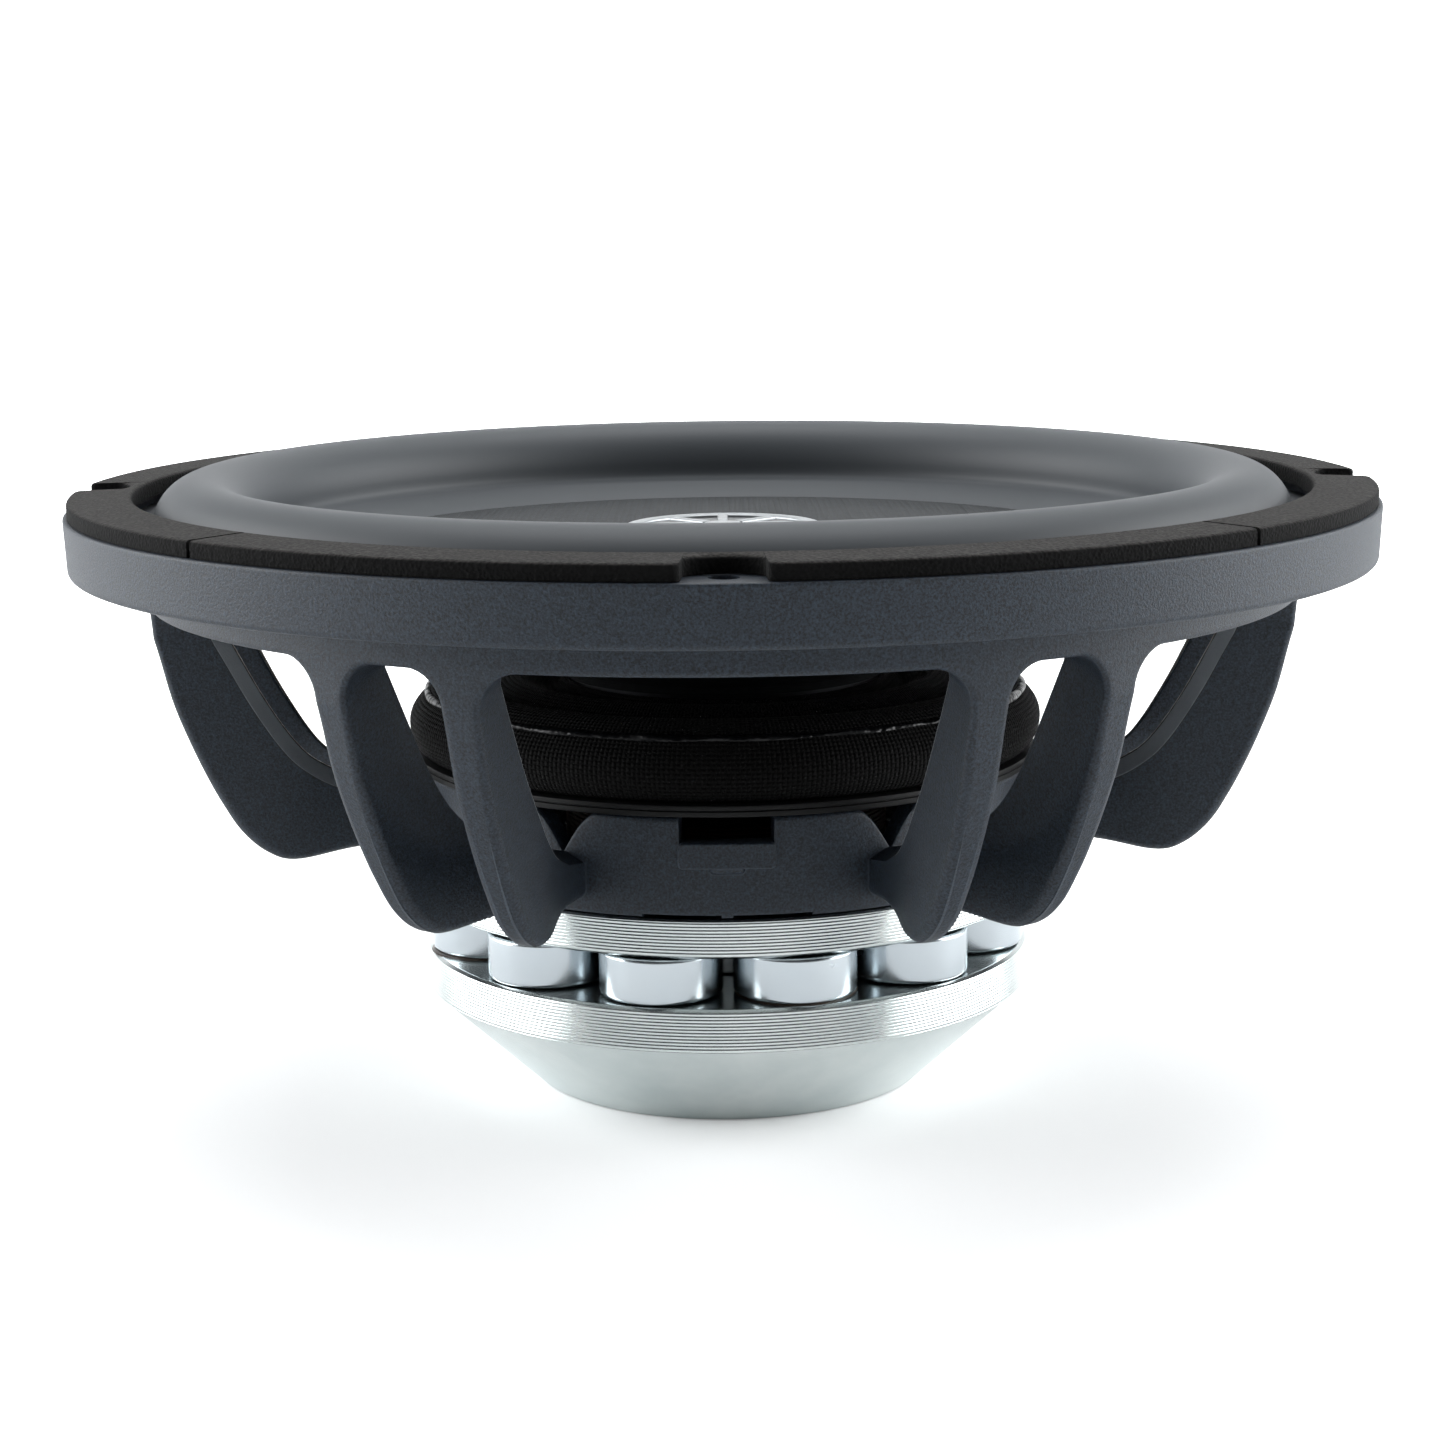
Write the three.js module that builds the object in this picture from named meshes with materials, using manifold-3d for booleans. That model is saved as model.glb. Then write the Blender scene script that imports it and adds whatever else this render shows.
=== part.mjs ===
// Ten-inch car subwoofer driver, standing on its back plate with the cone facing up.
// Millimetres, +Z up, origin on the axis at the bottom of the back plate, -Y is the front.
import * as THREE from 'three';
import { mergeVertices } from 'three/addons/utils/BufferGeometryUtils.js';
import Module from 'manifold-3d';

const wasm = await Module();
wasm.setup();

// Driving dimensions.
const GAP = 0.3;                 // clearance between pieces that touch
const RING_SIDES = 36;           // sides of a large turned part
const FLANGE_R = 137;
const FLANGE_TOP = 124.6;
const FLANGE_BOTTOM = 113;
const SKIRT_R = 120.7;
const WINDOW_TOP = 105.8;
const SEAT_R = 125.6;            // recess that holds the edge of the surround
const SEAT_Z = 121;
const BOLT_CIRCLE_R = 129.5;
const BOLT_HOLE_R = 2.8;
const BOLT_COUNT = 8;
const PAIR_COUNT = 6;            // legs stand in six pairs
const PAIR_FIRST_DEG = 30;       // azimuth of the first pair, from the front
const LEG_OFFSET_DEG = 6.9;      // each leg's middle, either side of its pair's middle
const LEG_HALF_DEG = 1.8;
const HUB_R = 64.8;
const HUB_INNER_R = 60.4;
const HUB_TOP = 68.8;
const HUB_FLOOR_TOP = 54;
const PLATE_R = 64.8;
const TOP_PLATE_Z = [40, 48.2];
const BACK_PLATE_TOP = 30;
const BACK_PLATE_FOOT_R = 42.2;
const BACK_PLATE_BAND_Z = 21.3;  // where the cone of the back plate meets its straight band
const POLE_R = 31.8;
const POLE_TOP = 51.4;
const VENT_R = 12;
const TRENCH_R = 36.2;
const TRENCH_FLOOR = 8;
const GAP_BORE_R = 35.4;
const MAGNET_R = 12.5;
const MAGNET_COUNT = 12;
const MAGNET_CIRCLE_R = 52;
const SHORTING_RING_OUT_R = 38.6;
const COIL_R = 32.6;             // inside of the coil former
const COIL_CENTRE_Z = 44.1;
const COIL_WINDING_LENGTH = 32;
const NECK_Z = 90;               // the cone's neck on the former
const NECK_R = 33.9;
const CONE_EDGE = [97.4, 116.3];
const CAP_R = 84.4;
const CAP_EDGE_Z = 115.1;
const CAP_TOP_Z = 117;
const CAP_WALL = 1;
const CAP_FLAT_R = 18;           // the cap is flat under the badge
const BADGE_R = [18.3, 20.9];    // its ring
const BADGE_ARM = [15.5, 1.3];   // half length and half width of a bar of its star
const ROLL_CENTRE = [109, 121];
const ROLL_A = 10.2;             // half width of the surround's roll
const ROLL_B = 10.4;             // its height over its centre
const GASKET_R = [122.8, 136.1];
const GASKET_Z = [124.9, 128.2];
const SCREW_CIRCLE_R = 54;
const SCREW_COUNT = 6;
const TERMINAL_Y = [110, 120];
const TERMINAL_HALF_WIDTH = 19;
const TERMINAL_SCREW_X = 15.2;
const TERMINAL_Z = [86, WINDOW_TOP - GAP];
const BUTTON_X = 7.5;
const BUTTON_Z = 93.5;

const rad = THREE.MathUtils.degToRad;
const object = new THREE.Group();

function material(color, roughness, metalness) {
  return new THREE.MeshStandardMaterial({ color, roughness, metalness });
}

function add(name, geometry, look) {
  const mesh = new THREE.Mesh(geometry, look);
  mesh.name = name;
  object.add(mesh);
  return mesh;
}

// A piece turned about its own upright axis, which stands on a circle round the object's axis.
function addOnCircle(name, outline, sides, radius, degrees, look) {
  const angle = rad(degrees);
  add(name, turnedFromAxis(outline, sides), look)
    .position.set(radius * Math.sin(angle), -radius * Math.cos(angle), 0);
}

// Volume enclosed by a triangle mesh: the sum of the signed tetrahedra over its faces.
function signedVolume(geometry) {
  const place = geometry.attributes.position;
  const index = geometry.index;
  const [a, b, c] = [new THREE.Vector3(), new THREE.Vector3(), new THREE.Vector3()];
  let sum = 0;
  for (let i = 0; i < index.count; i += 3) {
    a.fromBufferAttribute(place, index.getX(i));
    b.fromBufferAttribute(place, index.getX(i + 1));
    c.fromBufferAttribute(place, index.getX(i + 2));
    sum += a.dot(b.cross(c)) / 6;
  }
  return sum;
}

// Merges equal vertices, drops flat triangles and turns the faces outwards.
function closed(source) {
  const bare = source.clone();
  bare.deleteAttribute('normal');
  bare.deleteAttribute('uv');
  const merged = mergeVertices(bare, 1e-4);
  const kept = [];
  const index = merged.index;
  for (let i = 0; i < index.count; i += 3) {
    const corner = [index.getX(i), index.getX(i + 1), index.getX(i + 2)];
    if (new Set(corner).size === 3) kept.push(...corner);
  }
  merged.setIndex(kept);
  if (signedVolume(merged) < 0) {
    for (let i = 0; i < kept.length; i += 3) [kept[i], kept[i + 1]] = [kept[i + 1], kept[i]];
    merged.setIndex(kept);
  }
  return merged;
}

function solid(source) {
  const geometry = closed(source);
  const vertProperties = new Float32Array(geometry.attributes.position.array);
  const triVerts = new Uint32Array(geometry.index.array);
  return new wasm.Manifold(new wasm.Mesh({ numProp: 3, vertProperties, triVerts }));
}

function geometryOf(manifold) {
  const mesh = manifold.getMesh();
  const geometry = new THREE.BufferGeometry();
  geometry.setAttribute('position', new THREE.BufferAttribute(mesh.vertProperties, 3));
  geometry.setIndex(new THREE.BufferAttribute(mesh.triVerts, 1));
  return geometry;
}

const cut = (from, ...tools) => tools.reduce((left, tool) => left.subtract(tool), from);
const join = (first, ...others) => others.reduce((whole, other) => whole.add(other), first);

// Turns a closed outline of [radius, z] points about the Z axis.
function turned(outline, sides = RING_SIDES) {
  const points = [...outline, outline[0]].map(([r, z]) => new THREE.Vector2(r, z));
  return closed(new THREE.LatheGeometry(points, sides).rotateX(Math.PI / 2));
}

// Turns an open outline whose two ends lie on the axis.
function turnedFromAxis(outline, sides = RING_SIDES) {
  const points = outline.map(([r, z]) => new THREE.Vector2(r, z));
  return closed(new THREE.LatheGeometry(points, sides).rotateX(Math.PI / 2));
}

// Closed outline of a thin wall: the middle line moved half the thickness to each side.
function wall(line, thickness) {
  const side = (sign) => line.map(([r, z], i) => {
    const before = line[Math.max(i - 1, 0)];
    const after = line[Math.min(i + 1, line.length - 1)];
    const length = Math.hypot(after[0] - before[0], after[1] - before[1]);
    const shift = sign * thickness / 2 / length;
    return [r - shift * (after[1] - before[1]), z + shift * (after[0] - before[0])];
  });
  return [...side(1), ...side(-1).reverse()];
}

// Wraps an outline of (azimuth in degrees, z) round the axis as a block from one radius to another.
function wrapped(shape, inner, outer) {
  const block = new THREE.ExtrudeGeometry(shape, {
    depth: outer - inner, steps: 1, bevelEnabled: false, curveSegments: 3,
  });
  const place = block.attributes.position;
  for (let i = 0; i < place.count; i += 1) {
    const angle = rad(place.getX(i));
    const radius = inner + place.getZ(i);
    place.setXYZ(i, radius * Math.sin(angle), -radius * Math.cos(angle), place.getY(i));
  }
  return block;
}

// Opening with two rounded upper corners; its corners' width is an angle at the skirt's radius.
function archedShape(halfDeg, bottom, top, cornerRadius) {
  const corner = THREE.MathUtils.radToDeg(cornerRadius / SKIRT_R);
  const shape = new THREE.Shape();
  shape.moveTo(-halfDeg, bottom);
  shape.lineTo(halfDeg, bottom);
  shape.lineTo(halfDeg, top - cornerRadius);
  shape.quadraticCurveTo(halfDeg, top, halfDeg - corner, top);
  shape.lineTo(-halfDeg + corner, top);
  shape.quadraticCurveTo(-halfDeg, top, -halfDeg, top - cornerRadius);
  shape.closePath();
  return shape;
}

const atAzimuth = (geometry, degrees) => geometry.clone().rotateZ(rad(degrees));

function upright(radius, low, high, sides = 16) {
  return new THREE.CylinderGeometry(radius, radius, high - low, sides)
    .rotateX(Math.PI / 2).translate(0, 0, (low + high) / 2);
}

function box([x0, x1], [y0, y1], [z0, z1]) {
  return new THREE.BoxGeometry(x1 - x0, y1 - y0, z1 - z0)
    .translate((x0 + x1) / 2, (y0 + y1) / 2, (z0 + z1) / 2);
}

// Basket: one die casting of a flanged ring, twelve legs in six pairs, and a hub.
// Outer edge and inner edge of a leg, met by the same cross-section, from the ring to the hub.
const LEG_SECTIONS = [
  [[120.3, 111], [112.5, 111]],
  [[120.6, 105.8], [109.3, 105.8]],
  [[119.3, 95], [104, 95.2]],
  [[116.6, 84], [98.3, 84.4]],
  [[113.4, 75.4], [93.5, 76.6]],
  [[110, 68.4], [89.6, 71.6]],
  [[106.6, 62], [86.2, 68.9]],
  [[102.6, 55.6], [82.5, 66.8]],
  [[97.6, 51], [78.8, 65.2]],
  [[92.2, 49.3], [75.5, 64]],
  [[80, 50.8], [70, 62]],
  [[62.5, 51.4], [62.5, 60]],
];
const LEG_ROOT_OFFSET = 2.2;     // the two legs of a pair draw together at the hub
const LEG_ROOT_R = 64;
const LEG_STRAIGHT_R = 96;       // outside this radius a leg's faces are radial
const LEG_BEVEL_FROM = 0.8;      // share of the depth where the bevel of the inner edge begins

function legGeometry(side) {
  const spans = LEG_SECTIONS.length - 1;
  const bar = new THREE.BoxGeometry(1, 1, 1, 1, spans, 2);
  const place = bar.attributes.position;
  for (let i = 0; i < place.count; i += 1) {
    const row = Math.round((0.5 - place.getY(i)) * spans);
    const [outer, inner] = LEG_SECTIONS[row];
    const layer = Math.round(2 * (0.5 - place.getZ(i)));
    const depth = [0, LEG_BEVEL_FROM, 1][layer];
    const r = outer[0] + (inner[0] - outer[0]) * depth;
    const z = outer[1] + (inner[1] - outer[1]) * depth;
    const blend = THREE.MathUtils.smoothstep(r, LEG_ROOT_R, LEG_STRAIGHT_R);
    const middle = THREE.MathUtils.lerp(LEG_ROOT_OFFSET, r * Math.sin(rad(LEG_OFFSET_DEG)), blend);
    const half = Math.max(r * Math.sin(rad(LEG_HALF_DEG)), 2.9);
    const towardWindow = place.getX(i) > 0;
    const across = towardWindow ? (layer === 2 ? -0.3 : 1) : -1;
    const angle = Math.asin((middle + across * half) / r) * side;
    place.setXYZ(i, r * Math.sin(angle), -r * Math.cos(angle), z);
  }
  return bar;
}

function basket() {
  const ring = solid(turned([
    [FLANGE_R - 0.8, FLANGE_TOP], [SEAT_R, FLANGE_TOP], [SEAT_R, SEAT_Z], [116.2, SEAT_Z],
    [114, 113], [112, WINDOW_TOP], [SKIRT_R - 1, WINDOW_TOP], [SKIRT_R, WINDOW_TOP + 1],
    [SKIRT_R, FLANGE_BOTTOM - 1.5], [SKIRT_R + 1.5, FLANGE_BOTTOM],
    [FLANGE_R - 1.4, FLANGE_BOTTOM], [FLANGE_R - 0.5, FLANGE_BOTTOM + 0.9],
    [FLANGE_R, FLANGE_TOP - 0.8],
  ]));
  const crown = solid(turned([
    [SKIRT_R, WINDOW_TOP + 1], [112, WINDOW_TOP + 1], [108.4, 97], [SKIRT_R - 1, 97],
  ]));
  const hub = solid(turned([
    [44, TOP_PLATE_Z[1] + GAP], [HUB_R, TOP_PLATE_Z[1] + GAP], [HUB_R, HUB_TOP],
    [HUB_INNER_R, HUB_TOP], [HUB_INNER_R, HUB_FLOOR_TOP], [44, HUB_FLOOR_TOP],
  ]));

  const windowHalfDeg = 180 / PAIR_COUNT - LEG_OFFSET_DEG - LEG_HALF_DEG;
  const slotHalfDeg = LEG_OFFSET_DEG - LEG_HALF_DEG;
  const windowTool = wrapped(archedShape(windowHalfDeg, 90, WINDOW_TOP, 8), 95, 150);
  const slotTool = wrapped(archedShape(slotHalfDeg, 90, WINDOW_TOP, 7.5), 95, 150);

  // The hub's rim dips beside each pair, with rounded shoulders.
  const dip = new THREE.Shape();
  dip.moveTo(-3.4, 60);
  dip.lineTo(3.4, 60);
  dip.lineTo(3.4, 63.8);
  dip.quadraticCurveTo(3.4, HUB_TOP, 8, HUB_TOP);
  dip.lineTo(8, HUB_TOP + 6);
  dip.lineTo(-8, HUB_TOP + 6);
  dip.lineTo(-8, HUB_TOP);
  dip.quadraticCurveTo(-3.4, HUB_TOP, -3.4, 63.8);
  dip.closePath();
  const dipTool = wrapped(dip, HUB_INNER_R - 6, HUB_R + 6);

  // A locating notch in the front of the rim, with a ledge under it.
  const notch = solid(box([-9.4, 9.4], [-HUB_R - 4, -HUB_INNER_R + 4], [63.8, HUB_TOP + 5]));
  const ledge = solid(box([-9.2, 9.2], [-HUB_R - 0.9, -HUB_R + 3], [58.9, 63.8]));

  let crownCut = crown;
  let hubCut = cut(hub, notch);
  let legs = null;
  for (let k = 0; k < PAIR_COUNT; k += 1) {
    const pair = PAIR_FIRST_DEG + k * 360 / PAIR_COUNT;
    const beside = pair - 180 / PAIR_COUNT;
    crownCut = cut(crownCut, solid(atAzimuth(windowTool, beside)), solid(atAzimuth(slotTool, pair)));
    hubCut = cut(hubCut, solid(atAzimuth(dipTool, pair)));
    for (const side of [-1, 1]) {
      const leg = solid(atAzimuth(legGeometry(side), pair));
      legs = legs ? join(legs, leg) : leg;
    }
  }
  let whole = join(ring, crownCut, hubCut, legs, ledge);
  for (let k = 0; k < BOLT_COUNT; k += 1) {
    const hole = upright(BOLT_HOLE_R, FLANGE_BOTTOM - 2, FLANGE_TOP + 2, 8)
      .translate(0, -BOLT_CIRCLE_R, 0);
    whole = cut(whole, solid(atAzimuth(hole, k * 360 / BOLT_COUNT)));
  }
  for (let k = 0; k < SCREW_COUNT; k += 1) {
    whole = cut(whole, solid(atAzimuth(screwHole(), k * 360 / SCREW_COUNT)));
  }
  for (const x of [-TERMINAL_SCREW_X, TERMINAL_SCREW_X]) {
    whole = cut(whole, solid(upright(1.9, WINDOW_TOP - 2, WINDOW_TOP + 5.5, 8).translate(x, 115, 0)));
  }
  return geometryOf(whole);
}

function screwHole() {
  return upright(2.9, TOP_PLATE_Z[0] + 2, HUB_FLOOR_TOP + 2, 12).translate(0, -SCREW_CIRCLE_R, 0);
}

// Motor: back plate with its pole, magnets, shorting ring and top plate.
const backPlate = [
  [VENT_R, 0], [BACK_PLATE_FOOT_R, 0], [PLATE_R, BACK_PLATE_BAND_Z], [PLATE_R, BACK_PLATE_TOP - 0.8],
  [PLATE_R - 0.8, BACK_PLATE_TOP], [TRENCH_R, BACK_PLATE_TOP], [TRENCH_R, TRENCH_FLOOR],
  [POLE_R, TRENCH_FLOOR], [POLE_R, POLE_TOP - 1], [POLE_R - 1, POLE_TOP],
  [VENT_R + 2.5, POLE_TOP], [VENT_R, POLE_TOP - 2.5],
];

function topPlate() {
  const [low, high] = TOP_PLATE_Z;
  let plate = solid(turned([
    [GAP_BORE_R, low], [PLATE_R - 1.6, low], [PLATE_R, low + 0.8], [PLATE_R, high - 0.4],
    [PLATE_R - 0.4, high], [GAP_BORE_R, high],
  ]));
  for (let k = 0; k < SCREW_COUNT; k += 1) {
    plate = cut(plate, solid(atAzimuth(screwHole(), k * 360 / SCREW_COUNT)));
  }
  return geometryOf(plate);
}

const magnetLow = BACK_PLATE_TOP + GAP;
const magnetHigh = TOP_PLATE_Z[0] - GAP;
const magnet = [
  [0, magnetLow], [MAGNET_R - 0.5, magnetLow], [MAGNET_R, magnetLow + 0.5],
  [MAGNET_R, magnetHigh - 0.5], [MAGNET_R - 0.5, magnetHigh], [0, magnetHigh],
];

// A motor screw: a domed head on the hub's floor and a shank down into the top plate.
const headLow = HUB_FLOOR_TOP + GAP;
const motorScrew = [
  [0, TOP_PLATE_Z[0] + 2.6], [2.5, TOP_PLATE_Z[0] + 2.6], [2.5, headLow], [4.2, headLow],
  [4.2, headLow + 1.8], [3, headLow + 3.2], [0, headLow + 3.4],
];

// Moving assembly: coil, cone, cap and badge.
const coilHalf = COIL_WINDING_LENGTH / 2;
const former = [
  [COIL_R, 24], [COIL_R + 0.3, 24], [COIL_R + 0.3, NECK_Z + 6], [COIL_R, NECK_Z + 6],
];
const winding = [
  [COIL_R + 0.55, COIL_CENTRE_Z - coilHalf], [COIL_R + 2, COIL_CENTRE_Z - coilHalf],
  [COIL_R + 2, COIL_CENTRE_Z + coilHalf], [COIL_R + 0.55, COIL_CENTRE_Z + coilHalf],
];
const coneLine = [
  [NECK_R, NECK_Z - 2.5], [NECK_R + 0.5, NECK_Z], [66, NECK_Z + 14.2], [82, NECK_Z + 20.8],
  CONE_EDGE,
];

// Height of the cap's upper face: a shallow dome, flat under the badge.
function capHeight(r) {
  const t = Math.min(Math.max((r - CAP_FLAT_R) / (CAP_R - CAP_FLAT_R), 0), 1);
  return CAP_TOP_Z - (CAP_TOP_Z - CAP_EDGE_Z) * t ** 1.7;
}
const capRadii = [CAP_R, 70, 54, 36, 20, 0];
const dustCap = [
  ...capRadii.slice(1).reverse().map((r) => [r, capHeight(r) - CAP_WALL]),
  [CAP_R - CAP_WALL, CAP_EDGE_Z - CAP_WALL], [CAP_R - CAP_WALL, CAP_EDGE_Z - 2],
  [CAP_R, CAP_EDGE_Z - 2],
  ...capRadii.map((r) => [r, capHeight(r)]),
];
const adhesiveRing = [
  [CAP_R + GAP, CAP_EDGE_Z - 1.4], [CAP_R + 1.5, CAP_EDGE_Z - 1.2],
  [CAP_R + 1.4, CAP_EDGE_Z - 0.7], [CAP_R + GAP, CAP_EDGE_Z - 0.5],
];
const badgeFloor = CAP_TOP_Z + 0.2;
const badgeTop = badgeFloor + 0.6;
const badgeDisc = [[0, badgeFloor], [CAP_FLAT_R, badgeFloor], [CAP_FLAT_R, badgeTop], [0, badgeTop]];
const badgeRing = [
  [BADGE_R[0], badgeFloor], [BADGE_R[1], badgeFloor], [BADGE_R[1], badgeFloor + 1],
  [BADGE_R[1] - 0.9, badgeFloor + 1.4], [BADGE_R[0] + 0.7, badgeFloor + 1.4],
  [BADGE_R[0], badgeFloor + 1],
];

// Generic badge: short bars round a small boss, one piece.
function badgeStar() {
  const [low, high] = [badgeTop + GAP, badgeTop + GAP + 0.7];
  const [reach, half] = BADGE_ARM;
  let star = solid(upright(4, low, high, 16));
  for (let k = 0; k < 4; k += 1) {
    star = join(star, solid(box([-reach, reach], [-half, half], [low, high]).rotateZ(k * Math.PI / 4)));
  }
  return geometryOf(star);
}

// Surround: an edge in the basket's seat, a half roll, and a flange on the cone.
function surroundOutline() {
  const [cr, cz] = ROLL_CENTRE;
  const skin = 1.4;
  const arc = (grow, from, to, count) => Array.from({ length: count }, (_, i) => {
    const t = from + (to - from) * i / (count - 1);
    return [cr + (ROLL_A - grow) * Math.cos(t), cz + (ROLL_B - grow) * Math.sin(t)];
  });
  const top = [
    [SEAT_R - GAP, SEAT_Z + GAP + 1.2], [120, SEAT_Z + GAP + 1.2],
    ...arc(0, 0.24, Math.PI, 9), [98.6, 119.2], [97.6, 118.5], [86.2, 114.7],
  ];
  const under = [
    [86.2, 113.6], [97.9, 117.5], [99.9, 118.4],
    ...arc(skin, Math.PI, 0.1, 7), [118.3, SEAT_Z + GAP], [SEAT_R - GAP, SEAT_Z + GAP],
  ];
  return [...top, ...under];
}

// Spider: clamped edge on its ring, a steep woven wall, and corrugations in to the former.
const spiderLine = [
  [60.2, 72.4], [64.6, 72.5], [66.9, 76.4], [66.2, 80.8], [61.6, 85.2], [56.6, 86.4],
  [51, 83.6], [44.8, 87], [38.4, 84], [33.65, 86.2],
];
const spiderRing = [[59.6, 69.1], [66.4, 69.1], [66.4, 71.5], [59.6, 71.5]];

// Gasket: four foam arcs with a U-shaped notch over a bolt hole in the middle of each.
function gasketArc() {
  const half = 44.78;
  const [inner, outer] = GASKET_R;
  const notchHalf = 7.4;
  const notchEnd = 126;
  const steps = 14;
  const shape = new THREE.Shape();
  const mouth = THREE.MathUtils.radToDeg(Math.asin((notchHalf + 1.4) / outer));
  const at = (r, deg) => [r * Math.sin(rad(deg)), -r * Math.cos(rad(deg))];
  shape.moveTo(...at(inner, -half));
  for (let i = 1; i <= steps; i += 1) shape.lineTo(...at(inner, -half + 2 * half * i / steps));
  const outerStretch = (from, to) => {
    for (let i = 0; i <= 6; i += 1) shape.lineTo(...at(outer, from + (to - from) * i / 6));
  };
  outerStretch(half, mouth);
  shape.quadraticCurveTo(notchHalf, -outer, notchHalf, -outer + 1.6);
  shape.lineTo(notchHalf, -notchEnd - 4);
  shape.quadraticCurveTo(notchHalf, -notchEnd, 0, -notchEnd);
  shape.quadraticCurveTo(-notchHalf, -notchEnd, -notchHalf, -notchEnd - 4);
  shape.lineTo(-notchHalf, -outer + 1.6);
  shape.quadraticCurveTo(-notchHalf, -outer, ...at(outer, -mouth));
  outerStretch(-mouth, -half);
  shape.closePath();
  const arc = new THREE.ExtrudeGeometry(shape, {
    depth: GASKET_Z[1] - GASKET_Z[0], bevelEnabled: false, curveSegments: 3,
  });
  return closed(arc.translate(0, 0, GASKET_Z[0]));
}

// Terminal panel under the ring at the back, with two sprung push buttons and two solder tabs.
const buttonHalf = [4.2, 3.2];
function terminalBlock() {
  let block = solid(box([-TERMINAL_HALF_WIDTH, TERMINAL_HALF_WIDTH], TERMINAL_Y, TERMINAL_Z));
  for (const side of [-1, 1]) {
    const x = side * BUTTON_X;
    const pocket = box(
      [x - buttonHalf[0] - 0.4, x + buttonHalf[0] + 0.4], [TERMINAL_Y[0] + 1, TERMINAL_Y[1] + 2],
      [BUTTON_Z - buttonHalf[1] - 0.4, BUTTON_Z + buttonHalf[1] + 0.4],
    );
    const slit = box([x - 3, x + 3], [TERMINAL_Y[0] - 1, TERMINAL_Y[0] + 3], [99.9, 101.5]);
    const hole = upright(1.9, TERMINAL_Z[0] - 1, TERMINAL_Z[1] + 1, 8).translate(side * TERMINAL_SCREW_X, 115, 0);
    const head = upright(3.2, TERMINAL_Z[0] - 1, TERMINAL_Z[0] + 3, 12).translate(side * TERMINAL_SCREW_X, 115, 0);
    block = cut(block, solid(pocket), solid(slit), solid(hole), solid(head));
  }
  return geometryOf(block);
}

function terminalButton(side) {
  const x = side * BUTTON_X;
  const stem = box([x - buttonHalf[0], x + buttonHalf[0]], [TERMINAL_Y[0] + 4.4, TERMINAL_Y[1] + 4],
    [BUTTON_Z - buttonHalf[1], BUTTON_Z + buttonHalf[1]]);
  return closed(stem);
}

function terminalTab(side) {
  const x = side * BUTTON_X;
  return closed(box([x - 2.6, x + 2.6], [TERMINAL_Y[0] - 6.5, TERMINAL_Y[0] + 2.6], [100.3, 101.1]));
}

const terminalScrew = [
  [0, TERMINAL_Z[0] + 0.8], [2.6, TERMINAL_Z[0] + 0.8], [2.8, TERMINAL_Z[0] + 2.6],
  [1.5, TERMINAL_Z[0] + 2.7], [1.5, WINDOW_TOP + 5], [0, WINDOW_TOP + 5],
];

// A flexible lead from a tab to the underside of the cone.
function lead(side) {
  const x = side * BUTTON_X;
  const route = new THREE.CatmullRomCurve3([
    new THREE.Vector3(x, TERMINAL_Y[0] - 4.5, 99.2), new THREE.Vector3(x, TERMINAL_Y[0] - 5, 96.6),
    new THREE.Vector3(x, 98, 92.2), new THREE.Vector3(x * 0.98, 86, 90.2),
    new THREE.Vector3(x * 0.95, 73, 90), new THREE.Vector3(x * 0.9, 61, 91.4),
    new THREE.Vector3(x * 0.85, 53, 94), new THREE.Vector3(x * 0.8, 50, 95.6),
  ]);
  const section = new THREE.Shape(Array.from({ length: 8 }, (_, i) => (
    new THREE.Vector2(0.8 * Math.cos(i * Math.PI / 4), 0.8 * Math.sin(i * Math.PI / 4)))));
  return closed(new THREE.ExtrudeGeometry(section, { extrudePath: route, steps: 12, bevelEnabled: false }));
}

const powderCoat = () => material(0x5b626a, 0.6, 0.3);
const zinc = () => material(0xc3c8ca, 0.35, 0.9);
const nickel = () => material(0xd4d8da, 0.15, 1);
const foam = () => material(0x2b2a2a, 0.95, 0);
const rubber = () => material(0x6a6d70, 0.55, 0);
const blackPlastic = () => material(0x17181a, 0.5, 0);
const screwSteel = () => material(0x9a9ea2, 0.35, 0.9);

add('basket', basket(), powderCoat());
add('back_plate', turned(backPlate), zinc());
for (let k = 0; k < MAGNET_COUNT; k += 1) {
  const name = `magnet_${String(k + 1).padStart(2, '0')}`;
  addOnCircle(name, magnet, 16, MAGNET_CIRCLE_R, (k + 0.5) * 360 / MAGNET_COUNT, nickel());
}
add('shorting_ring', turned([
  [TRENCH_R, magnetLow], [SHORTING_RING_OUT_R, magnetLow], [SHORTING_RING_OUT_R, magnetHigh],
  [TRENCH_R, magnetHigh],
]), material(0xb9bcbd, 0.4, 0.9));
add('top_plate', topPlate(), zinc());
for (let k = 0; k < SCREW_COUNT; k += 1) {
  addOnCircle(`motor_screw_${k + 1}`, motorScrew, 10, SCREW_CIRCLE_R, k * 360 / SCREW_COUNT, screwSteel());
}
add('vent_screen', turnedFromAxis([[0, 2], [VENT_R - GAP, 2], [VENT_R - GAP, 2.8], [0, 2.8]], 24),
  material(0x1b1c1e, 0.7, 0.4));
add('coil_former', turned(former), material(0x2a2a2c, 0.5, 0.4));
add('coil_winding', turned(winding), material(0xa5602f, 0.35, 0.9));
add('spider_ring', turned(spiderRing), blackPlastic());
add('spider', turned(wall(spiderLine, 0.9)), material(0x1d1e20, 0.9, 0));
add('cone', turned(wall(coneLine, 1.2)), material(0x1f2022, 0.8, 0));
add('dust_cap', turnedFromAxis(dustCap), material(0x55595c, 0.7, 0));
add('cap_adhesive', turned(adhesiveRing), material(0x0e0f10, 0.3, 0));
add('badge_disc', turnedFromAxis(badgeDisc, 24), material(0x2e3033, 0.5, 0.2));
add('badge_ring', turned(badgeRing, 24), material(0xcfd2d4, 0.15, 1));
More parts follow.
